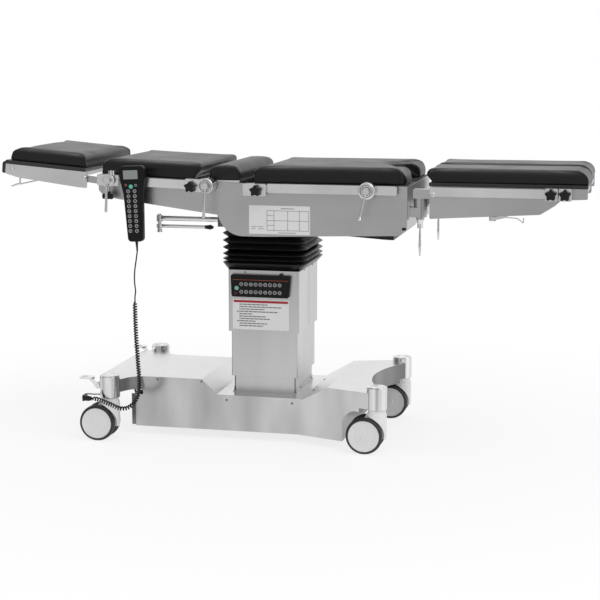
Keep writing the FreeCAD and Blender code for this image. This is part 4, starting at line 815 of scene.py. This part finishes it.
def wheel_parts(tyre, disc, metal, x, y):
    """Both wheels of a caster: tyres, dished discs and the axle."""
    for side in (NEAR, FAR):
        centre = (x - TRAIL, y + side * WHEEL_INNER, WHEEL_RADIUS)
        axis = (0, side, 0)
        w = WHEEL_WIDTH
        lathe_into(tyre, centre, axis, [
            (0.002, RIM_SEAT), (0.002, RIM_RADIUS), (0.0035, TYRE_SIDE), (0.007, TYRE_SHOULDER),
            (0.0115, WHEEL_RADIUS), (w - 0.0095, WHEEL_RADIUS), (w - 0.0045, TYRE_SHOULDER),
            (w - 0.0012, TYRE_SIDE), (w - 0.0002, 0.0552), (w - 0.0008, RIM_RADIUS),
            (w - 0.004, RIM_RADIUS), (w - 0.004, RIM_SEAT)], 64)
        lathe_into(disc, centre, axis, [
            (0.001, 0.0), (0.001, 0.014), (0.006, 0.016), (0.008, 0.045), (0.0005, 0.0475), (0.0005, 0.0525),
            (w - 0.0045, 0.0532), (w - 0.0012, 0.0528), (w - 0.0006, 0.0512), (w - 0.0018, 0.0490),
            (w - 0.0026, 0.0300), (w - 0.0022, 0.0120), (w - 0.0006, 0.0105), (w - 0.0004, 0.0)], 64)
    reach = WHEEL_INNER + AXLE_PAST
    lathe_into(metal, (x - TRAIL, y - reach, WHEEL_RADIUS), (0, 1, 0),
               [(0, AXLE_RADIUS), (2 * reach, AXLE_RADIUS)], 24)


def make_wells(obj, x, y):
    """Cuts the room of both wheels out of a hood."""
    well = bmesh.new()
    for side in (NEAR, FAR):
        lathe_into(well, (x - TRAIL, y + side * WEB_HALF, WHEEL_RADIUS), (0, side, 0),
                   [(0, WELL_RADIUS), (WELL_DEPTH, WELL_RADIUS)], 72)
    wells = piece("wells", well, "base", WHITE_PLASTIC)
    modify(obj, "BOOLEAN", object=wells, solver="EXACT")
    apply_modifiers(obj)
    bpy.data.objects.remove(wells)
    shade(obj.data, 35)


def make_hood(name, x, y):
    """White hood of a caster: a turned body cut away over both wheels, with its web and stem."""
    hood, web, stem = bmesh.new(), bmesh.new(), bmesh.new()
    lathe_into(hood, (x, y, 0), (0, 0, 1), [
        (HOOD_FOOT_Z, 0.0), (HOOD_FOOT_Z, HOOD_RADIUS - 0.001), (HOOD_FOOT_Z + 0.004, HOOD_RADIUS),
        (HOOD_TOP_Z - 0.0075, HOOD_RADIUS), (HOOD_TOP_Z - 0.002, HOOD_RADIUS - 0.0013),
        (HOOD_TOP_Z, HOOD_RADIUS - 0.004), (HOOD_TOP_Z, 0.0)], 48)
    obj = piece("hood_" + name, hood, None, WHITE_PLASTIC)
    make_wells(obj, x, y)
    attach(obj, "caster_" + name)
    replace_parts(obj, "caster_fork_" + name)
    hub_x = x - TRAIL
    top = HOOD_TOP_Z - 0.0005
    plate_into(web, [(hub_x - HUB_ARM, WHEEL_RADIUS - 0.014, 0.013),
                     (hub_x + 0.030, WHEEL_RADIUS - 0.020, 0.02),
                     (x + 0.030, 0.052, 0.004), (x + 0.030, top), (x - 0.030, top, 0.004),
                     (x - 0.040, 0.122, 0.01), (hub_x - HUB_ARM, WHEEL_RADIUS + 0.020, 0.01)],
               y - WEB_HALF + WEB_GAP, y + WEB_HALF - WEB_GAP)
    lathe_into(stem, (x, y, 0), (0, 0, 1), [
        (HOOD_TOP_Z - 0.0015, COLLAR_RADIUS), (COLLAR_TOP_Z, COLLAR_RADIUS), (COLLAR_TOP_Z, STEM_RADIUS),
        (STEM_TOP_Z, STEM_RADIUS)], 40)
    piece("web_" + name, web, "caster_" + name, WHITE_PLASTIC)
    piece("stem_" + name, stem, "caster_" + name, WHITE_PLASTIC)


def make_wheels():
    for name, (x, y) in CASTERS.items():
        make_hood(name, x, y)
        tyre, disc, metal = bmesh.new(), bmesh.new(), bmesh.new()
        wheel_parts(tyre, disc, metal, x, y)
        body = "wheels_" + name
        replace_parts(piece("tyres_" + name, tyre, body, TYRE_RUBBER), "caster_wheels_" + name)
        piece("wheel_discs_" + name, disc, body, DISC_PLASTIC)
        piece("axle_" + name, metal, body, CHROME)


make_wheels()


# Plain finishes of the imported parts

dress(CASING_STEEL, "seat_casing", "back_casing", "leg_casing", "leg_yoke")
dress(HEAD_LIT_STEEL, "head_frame")
dress(RAIL_STEEL, "seat_rails", "back_rails", "kidney_carrier", "brake_pedals")
dress(COLUMN_STEEL, "column_")
dress(BASE_TOP_LIT_STEEL, "base_cover")
dress(HOUSING_STEEL, "caster_housings")
dress(FRAME_PAINT, "base_frame", "outer_mast", "inner_mast", "gimbal_cross", "seat_frame")
dress(PANEL_GLOSS, "control_panel")
dress(CHROME, "crank", "head_bail", "clamp_lever", "swing_lever", "leg_release")
dress(BLACK_PLASTIC, "seat_underside_cover", "clamp_knob", "back_knob", "seat_knob", "leg_knob", "cord_plug")


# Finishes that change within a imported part

FRAME_HEAD_X, FRAME_BRACKET_Y = -0.53, -0.30
BODY_HEAD_X, BODY_FOOT_X, BODY_HALF_Y = -0.452, 0.300, 0.195
CASING_Y = 0.2495
GRIP_END_X = -0.213
CRANK_END_X = -0.135


def is_wall(face):
    return abs(face.normal.z) < 0.4


def is_bracket(face):
    """The cord's socket bracket at the near head corner."""
    return face.center.x < FRAME_HEAD_X and face.center.y < FRAME_BRACKET_Y


def is_shaded_recess(face):
    """The walls of the base's ears that face its wheels, and its head end: these take a dark steel as
    painted shade.
    """
    x, y = face.center.x, abs(face.center.y)
    head = x < BODY_HEAD_X + 0.05 and y > BODY_HALF_Y + 0.001
    foot = x > BODY_FOOT_X + 0.02 and face.normal.x > 0.3
    end = abs(x - BODY_FOOT_X) < 0.003 and face.normal.x > 0.9
    return is_wall(face) and (head or foot or end or x < BODY_HEAD_X + 0.001)


# The walls of the base cover take the darker copy of its steel: painted shade
zone(BASE_WALL_SHADED_STEEL, "base_cover", is_wall)
zone(RECESS_SHADE_STEEL, "base_cover", is_shaded_recess)
zone(HOUSING_STEEL, "base_frame", is_bracket)
zone(RAIL_STEEL, "leg_casing_near", lambda face: face.center.y < -CASING_Y)
zone(RAIL_STEEL, "leg_casing_far", lambda face: face.center.y > CASING_Y)
zone(BLACK_PLASTIC, "crank_handle", lambda face: face.center.x > GRIP_END_X)
zone(BLACK_PLASTIC, "crank", lambda face: face.center.x > CRANK_END_X)


# Screws

BASE_SCREWS = ((-0.371, 0.199), (-0.211, 0.199), (-0.121, 0.138), (0.112, 0.138))
SLOPE_SCREW, SLOPE_NORMAL = (0.165, 0.09, 0.1643), (-0.484, 0, 0.875)
COVER_SIDE_X, COVER_SCREW_Y, COVER_SCREW_Z = 0.126, 0.065, 0.5828
LEG_SIDE_Y, LEG_BOLTS = 0.272, ((0.598, 0.8735, 0.0075), (0.684, 0.882, 0.0035))
HEAD_SIDE_Y, HEAD_BOLTS = 0.249, ((-0.8688, 0.929, 0.006), (-0.6056, 0.9039, 0.0075))


def screw_into(bm, place, axis, radius=0.004):
    """A low round screw head with a hexagon socket."""
    lathe_into(bm, place, axis, [(-0.001, radius), (radius * 0.25, radius), (radius * 0.5, radius * 0.8),
                                 (radius * 0.55, radius * 0.45)], 16)
    lathe_into(bm, place, axis, [(radius * 0.5, radius * 0.42), (radius * 0.56, radius * 0.42)], 6)


def make_screws():
    base, cover = bmesh.new(), bmesh.new()
    for side, word in SIDES:
        for x, z in BASE_SCREWS:
            screw_into(base, (x, side * BODY_HALF_Y, z), (0, side, 0))
        x, y, z = SLOPE_SCREW
        screw_into(base, (x, side * y, z), SLOPE_NORMAL)
        for end in (1, -1):
            screw_into(cover, (end * COVER_SIDE_X, side * COVER_SCREW_Y, COVER_SCREW_Z), (end, 0, 0))
        leg, head = bmesh.new(), bmesh.new()
        for x, z, radius in LEG_BOLTS:
            screw_into(leg, (x, side * LEG_SIDE_Y, z), (0, side, 0), radius)
        for x, z, radius in HEAD_BOLTS:
            screw_into(head, (x, side * HEAD_SIDE_Y, z), (0, side, 0), radius)
        piece("leg_bolts_" + word, leg, "leg_" + word, CHROME)
        piece("head_bolts_" + word, head, "head", CHROME)
    piece("base_screws", base, "base", SCREW_STEEL)
    piece("cover_screws", cover, "column", CHROME)


make_screws()


# Small fittings of the column, the base and the clamps

SEAM_Y, SEAM_HALF, SEAM_RISE = 0.0065, 0.0006, 0.0002
COVER_FOOT_Z, COVER_TOP_Z = 0.375, 0.587
LOWER_HALF_X, LOWER_HALF_Y, LOWER_FOOT_Z = 0.110, 0.130, 0.1575
STRIP_TOP_Z, STRIP_TOP, STRIP_FOOT, STRIP_INSET = 0.174, 0.0015, 0.0025, 0.002
STRIP_SCREWS_Y, STRIP_SCREW_Z, STRIP_SCREW_RADIUS = (-0.057, 0.104), 0.1660, 0.0030
SLOT_HALF, SLOT_FOOT_Z, SLOT_TOP_Z = 0.0012, 0.160, 0.214
WALL_LEAN = 0.3447        # how far the base's side wall draws out per length towards the foot end
WALL_START_X = 0.131
ARCH_RADIUS, ARCH_TOP_Z, ARCH_DEPTH = 0.050, 0.1405, 0.070
SHEET, LINER_SHEET = 0.0018, 0.002
FLANGE_REACH, FLANGE_INSET, FLANGE_SHEET, FLANGE_Z = 0.018, 0.010, 0.003, (0.031, 0.142)
HUBS = {"head": (-0.502, 0.901), "back": (-0.1582, 0.889), "seat": (0.385, 0.883)}
DRUM_BACK_Y, DRUM_FACE_Y, DRUM_RADIUS = -0.290, -0.3003, 0.022
RAISED_RINGS = ((0.0235, 0.0030, 0.0022), (0.0175, 0.0022, 0.0014))     # radius, width and height
# The grooves are thin black rings: painted shade
GROOVES = ((0.0203, 0.0014), (0.0143, 0.0018))                          # radius and width
RING_LIFT = 0.0006
SEAT_FACE_Y = -0.249
CASING_PLUG = (0.496, 0.509, 0.752, 0.7605, 0.001)


def make_column_fittings():
    """Seam of the upper cover, screwed strip at the column's foot and slots in its front corners."""
    seam, strip, screws = bmesh.new(), bmesh.new(), bmesh.new()
    for side in (-1, 1):
        x = side * COVER_SIDE_X
        box_into(seam, x - SEAM_RISE, x + SEAM_RISE, SEAM_Y - SEAM_HALF, SEAM_Y + SEAM_HALF,
                 COVER_FOOT_Z, COVER_TOP_Z)
        foot = side * LOWER_HALF_X
        plate_into(strip, [(foot, LOWER_FOOT_Z), (foot, STRIP_TOP_Z), (foot + side * STRIP_TOP, STRIP_TOP_Z),
                           (foot + side * STRIP_FOOT, LOWER_FOOT_Z)],
                   STRIP_INSET - LOWER_HALF_Y, LOWER_HALF_Y - STRIP_INSET)
        for y in STRIP_SCREWS_Y:
            place = (foot + side * 0.0020, y, STRIP_SCREW_Z)
            screw_into(screws, place, (side, 0, 0), STRIP_SCREW_RADIUS)
        slot_x = foot - side * 0.003
        box_into(seam, slot_x - SLOT_HALF, slot_x + SLOT_HALF,
                 -LOWER_HALF_Y - 0.0003, -LOWER_HALF_Y + 0.0002, SLOT_FOOT_Z, SLOT_TOP_Z)
    piece("column_seams", seam, "column", SEAM_BLACK)
    piece("foot_strips", strip, "base", CASING_STEEL)
    piece("foot_strip_screws", screws, "base", FRAME_PAINT)


def make_wheel_arches():
    """Rounds the corner between the base's side wall and the foot ears, and turns out its head edges. The
    rounded wall takes the walls' darker steel, and the liner and flanges a dark steel, both painted shade.
    """
    middle_x, middle_z = BODY_FOOT_X + ARCH_RADIUS, ARCH_TOP_Z - ARCH_RADIUS
    turns = [math.radians(t) for t in range(0, 91, 9)]
    arc = [(middle_x - ARCH_RADIUS * math.sin(t), middle_z + ARCH_RADIUS * math.cos(t)) for t in turns]
    wider = [(x - LINER_SHEET * math.sin(t), z + LINER_SHEET * math.cos(t)) for (x, z), t in zip(arc, turns)]
    for side, word in SIDES:
        wall, liner, flange = bmesh.new(), bmesh.new(), bmesh.new()
        plate_into(wall, [(BODY_FOOT_X, ARCH_TOP_Z)] + arc, side * BODY_HALF_Y, side * (BODY_HALF_Y - SHEET))
        plate_into(liner, arc + wider[::-1], side * (BODY_HALF_Y - SHEET), side * (BODY_HALF_Y - ARCH_DEPTH))
        for bm in (wall, liner):
            for vert in bm.verts:
                vert.co.y += side * WALL_LEAN * (vert.co.x - WALL_START_X)
        plate_into(flange, rectangle(BODY_HEAD_X - FLANGE_REACH, BODY_HEAD_X + 0.001, *FLANGE_Z),
                   side * (BODY_HALF_Y - FLANGE_INSET), side * (BODY_HALF_Y - FLANGE_INSET - FLANGE_SHEET))
        piece("end_flange_" + word, flange, "base", RECESS_SHADE_STEEL)
        piece("wheel_arch_" + word, wall, "base", BASE_WALL_SHADED_STEEL)
        piece("wheel_arch_liner_" + word, liner, "base", RECESS_SHADE_STEEL)


def make_clamp_rings():
    """Turned rings on the face of each clamp drum, round the hub of its lever, with thin black rings between
    them as painted shade in the grooves.
    """
    for name, (x, z) in HUBS.items():
        bright, dark = bmesh.new(), bmesh.new()
        face = (x, DRUM_FACE_Y + RING_LIFT, z)
        rings = RAISED_RINGS
        if name == "head":
            rings = RAISED_RINGS[1:]
            depth = DRUM_BACK_Y - DRUM_FACE_Y
            lathe_into(bright, (x, DRUM_BACK_Y, z), (0, -1, 0),
                       [(0, DRUM_RADIUS - 0.001), (0.008, DRUM_RADIUS), (depth - 0.001, DRUM_RADIUS),
                        (depth, DRUM_RADIUS - 0.001)], 40)
        for radius, width, lift in rings:
            lathe_into(bright, face, (0, -1, 0),
                       [(0, radius - width), (lift * 0.8, radius - width), (lift, radius - width * 0.8),
                        (lift, radius - width * 0.2), (lift * 0.8, radius), (0, radius)], 40)
        for radius, width in GROOVES:
            lathe_into(dark, face, (0, -1, 0),
                       [(0, radius - width), (0.0005, radius - width), (0.0005, radius), (0, radius)], 40)
        body = "seat" if name == "seat" else "back"
        piece("clamp_rings_" + name, bright, body, CHROME)
        piece("clamp_rings_" + name + "_groove_shade", dark, body, SEAM_BLACK)


def make_casing_plug():
    plug = bmesh.new()
    plate_into(plug, rectangle(*CASING_PLUG), SEAT_FACE_Y - 0.003, SEAT_FACE_Y + 0.002)
    piece("seat_casing_plug", plug, "seat", BLACK_PLASTIC)


make_column_fittings()
make_wheel_arches()
make_clamp_rings()
make_casing_plug()


# Control panel and plates

PANEL_FACE_Y, COVER_FACE_Y = -0.158, -0.146
PRINT_SEAT = 0.0002       # how deep a print sits in its face
RING_WIDTH, PRINT_LIFT, PANEL_RING = 0.0016, 0.0007, 0.0063
PANEL_ROWS_Z = (0.5405, 0.5140)
PANEL_KEYS, PANEL_KEY_X, PANEL_KEY_STEP = 9, -0.0757, 0.01695
PANEL_START_X, PANEL_START_Z = -0.0922, 0.5265
INSTRUCTION_PLATE = (-0.110, 0.090, 0.381, 0.4875)
SEAT_PLATE = (-0.0225, 0.1867, 0.7275, 0.8235)
PLATE_CORNER = 0.002
ROW_STEP, STROKE_HEIGHT, STROKE_GAP = 0.0083, 0.0034, 0.0018
ROW_SHARES = (0.62, 0.90, 0.55, 0.82, 0.30, 0.58, 0.66, 0.36, 0.60, 0.52)
LINE_HALF = 0.0006


def key_ring_into(bm, x, y, z, radius, width=RING_WIDTH):
    """A printed ring standing a little proud of a face that looks along -Y."""
    inner = radius - width
    lathe_into(bm, (x, y, z), (0, -1, 0),
               [(-PRINT_SEAT, inner), (PRINT_LIFT, inner), (PRINT_LIFT, radius), (-PRINT_SEAT, radius)], 24)


def button_into(bm, x, y, z, radius, crown, top):
    """A low round key on a face that looks along -Y; crown and top are its height and upper radius."""
    lathe_into(bm, (x, y, z), (0, -1, 0), [(-PRINT_SEAT, radius), (0.0008, radius), (crown, top)], 24)


def mark_into(bm, x, y, half, z0, z1):
    """A printed stroke across a key."""
    box_into(bm, x - half, x + half, y - 0.0006, y + PRINT_SEAT, z0, z1)


def make_control_panel():
    prints, green, red, line = bmesh.new(), bmesh.new(), bmesh.new(), bmesh.new()
    y = PANEL_FACE_Y
    for z in PANEL_ROWS_Z:
        for i in range(PANEL_KEYS):
            x = PANEL_KEY_X + PANEL_KEY_STEP * i
            key_ring_into(prints, x, y, z, PANEL_RING)
            mark_into(prints, x, y, 0.0018 + 0.0006 * (i % 3), z - 0.0008, z + 0.0010)
    key_ring_into(prints, PANEL_START_X, y, PANEL_START_Z, 0.0072, 0.0014)
    button_into(green, PANEL_START_X, y, PANEL_START_Z, 0.0055, 0.0011, 0.0045)
    key_ring_into(red, -0.0965, y, 0.5090, 0.0045, 0.0014)
    box_into(line, -0.106, 0.090, y - 0.0004, y + PRINT_SEAT, 0.5550, 0.5563)
    lamp, lock = bmesh.new(), bmesh.new()
    lathe_into(lamp, (-0.0644, COVER_FACE_Y, 0.5810), (0, -1, 0),
               [(-0.0005, 0.0025), (0.001, 0.0025), (0.0022, 0.0012)])
    lathe_into(lock, (0.063, COVER_FACE_Y - 0.0065, 0.5735), (0, 0, 1),
               [(0, 0.006), (0.0045, 0.006), (0.006, 0.0045)])
    for name, bm, material in (("key_rings", prints, KEY_PRINT), ("start_key", green, KEY_GREEN),
                               ("small_mark", red, KEY_RED), ("line", line, LINE_INK),
                               ("lamp", lamp, RED_INK), ("lock", lock, BLACK_PLASTIC)):
        piece("panel_" + name, bm, "column", material)


def plate_piece(name, area, y, body):
    bm = bmesh.new()
    plate_into(bm, rectangle(*area, PLATE_CORNER), y - 0.0006, y + PRINT_SEAT)
    piece(name, bm, body, LABEL_FILM)


def ink_into(bm, x0, x1, y, z0, z1):
    """A printed patch on a plate whose back lies on the face at y."""
    box_into(bm, x0, x1, y - 0.0009, y - 0.0005, z0, z1)


def make_instruction_plate():
    """White plate with a red band and rows of plain grey strokes."""
    x0, x1, _, z1 = INSTRUCTION_PLATE
    y = COVER_FACE_Y
    plate_piece("instruction_plate", INSTRUCTION_PLATE, y, "column")
    band, rows = bmesh.new(), bmesh.new()
    box_into(band, x0 + 0.004, x1 - 0.003, y - 0.0010, y - 0.0005, z1 - 0.0125, z1 - 0.0045)
    for i, share in enumerate(ROW_SHARES):
        z = z1 - 0.0205 - i * ROW_STEP
        start = x0 + (0.016 if i % 4 == 3 else 0.024)
        end = x0 + 0.02 + (x1 - x0 - 0.03) * share
        while start < end:
            stroke = min(0.005 + 0.003 * ((i + int(start * 1000)) % 4), end - start)
            ink_into(rows, start, start + stroke, y, z, z + STROKE_HEIGHT)
            start += stroke + STROKE_GAP
    piece("instruction_band", band, "column", RED_INK)
    piece("instruction_rows", rows, "column", LABEL_INK)


def make_seat_plate():
    """White plate with a plain grid of thin lines."""
    x0, x1, z0, z1 = SEAT_PLATE
    y = SEAT_FACE_Y
    plate_piece("seat_plate", SEAT_PLATE, y, "seat")
    ink = bmesh.new()
    grid_x0, grid_x1, grid_z0, grid_z1 = x0 + 0.062, x1 - 0.005, z0 + 0.013, z1 - 0.017
    for share in (0.0, 0.17, 0.50, 0.78, 1.0):
        x = grid_x0 + (grid_x1 - grid_x0) * share
        ink_into(ink, x - LINE_HALF, x + LINE_HALF, y, grid_z0, grid_z1)
    for i in range(5):
        z = grid_z0 + (grid_z1 - grid_z0) * i / 4
        end = grid_x1 if i % 2 == 0 else grid_x0 + (grid_x1 - grid_x0) * 0.17
        ink_into(ink, grid_x0, end, y, z - LINE_HALF, z + LINE_HALF)
    for i, (a, b) in enumerate(((0.008, 0.026), (0.030, 0.048), (0.008, 0.022), (0.032, 0.052))):
        z = z0 + 0.024 - 0.007 * (i // 2)
        ink_into(ink, x0 + a, x0 + b, y, z, z + 0.0014)
    ink_into(ink, x0 + 0.110, x0 + 0.155, y, z1 - 0.0105, z1 - 0.0085)
    ink_into(ink, x0 + 0.100, x0 + 0.160, y, z0 + 0.0045, z0 + 0.0062)
    piece("seat_plate_lines", ink, "seat", LABEL_INK)


make_control_panel()
make_instruction_plate()
make_seat_plate()


# Handset

HANDSET_X, HANDSET_TOP = -0.415, 0.951
HANDSET_LENGTH = 0.256
HANDSET_FRONT, HANDSET_BACK = -0.302, -0.278
HANDSET_LEAN = turned_about(Vector((HANDSET_X, 0, HANDSET_TOP - 0.045)), -2.5)
HANDSET_HALF = ((0.027, HANDSET_LENGTH, 0.013), (0.034, 0.095, 0.060), (0.044, 0.045, 0.030),
                (0.044, 0, 0.014))     # half width, depth below the top and rounding of each corner
RAIL_BACK_Y, HOOK_TOP_Z, HOOK_WALL = -0.261, 0.9117, 0.003
HANDSET_KEY_ROWS, HANDSET_ROW_STEP, HANDSET_KEY_OFFSETS = 9, 0.0168, (-0.0155, 0.0073)


def make_handset():
    """Slim black handset with screen, keys and strain relief, hung by its hook from the rail."""
    x, z = HANDSET_X, HANDSET_TOP
    shell, relief, hook = bmesh.new(), bmesh.new(), bmesh.new()
    right = [(x + half, z - down, turn) for half, down, turn in HANDSET_HALF]
    left = [(x - half, z - down, turn) for half, down, turn in HANDSET_HALF]
    plate_into(shell, left[:1] + right + left[:0:-1], HANDSET_FRONT, HANDSET_BACK, steps=8)
    body = piece("handset_shell", shell, None, HANDSET_PLASTIC, HANDSET_LEAN, 30.0, 0.004)
    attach(body, "handset")
    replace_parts(body, "handset")
    middle_y = (HANDSET_FRONT + HANDSET_BACK) / 2
    lathe_into(relief, (x, middle_y, z - HANDSET_LENGTH + 0.004), (0, 0, -1),
               [(0, 0.0058), (0.006, 0.0056), (0.007, 0.0046), (0.012, 0.0048), (0.013, 0.0040),
                (0.018, 0.0042), (0.019, 0.0036), (0.024, 0.0038), (0.025, 0.0032), (0.037, 0.0030)], 20)
    piece("handset_relief", relief, "handset", CORD_RUBBER, HANDSET_LEAN)
    near, far, high = HANDSET_BACK - 0.001, HANDSET_BACK + HOOK_WALL, HOOK_TOP_Z
    plate_into(hook, [(near, high - 0.016), (far, high - 0.016), (far, high), (RAIL_BACK_Y, high),
                      (RAIL_BACK_Y, high - 0.018), (RAIL_BACK_Y + HOOK_WALL, high - 0.018),
                      (RAIL_BACK_Y + HOOK_WALL, high + HOOK_WALL), (near, high + HOOK_WALL)],
               x - 0.014, x + 0.014, "yz")
    piece("handset_hook", hook, "handset", BLACK_PLASTIC)
    make_handset_face(x, HANDSET_FRONT, z)


def make_handset_face(x, y, z):
    screen, prints, green, red = bmesh.new(), bmesh.new(), bmesh.new(), bmesh.new()
    plate_into(screen, rectangle(x - 0.030, x + 0.021, z - 0.044, z - 0.014, 0.002), y - 0.0008,
               y + PRINT_SEAT)
    for i in range(HANDSET_KEY_ROWS):
        row_z = z - 0.0845 - HANDSET_ROW_STEP * i
        for offset in HANDSET_KEY_OFFSETS:
            key_ring_into(prints, x + offset, y, row_z, 0.0060)
            half = 0.0014 + 0.0005 * ((i + (offset > 0)) % 3)
            mark_into(prints, x + offset, y, half, row_z - 0.0007, row_z + 0.0009)
    key_ring_into(prints, x + 0.0123, y, z - 0.0648, 0.0042, 0.0012)
    button_into(green, x - 0.0050, y, z - 0.0690, 0.0072, 0.0012, 0.0060)
    button_into(red, x - 0.0225, y, z - 0.0632, 0.0045, 0.0010, 0.0035)
    for name, bm, material in (("screen", screen, SCREEN), ("key_rings", prints, KEY_PRINT),
                               ("start_key", green, KEY_GREEN), ("stop_key", red, KEY_RED)):
        piece("handset_" + name, bm, "handset", material, HANDSET_LEAN)


make_handset()
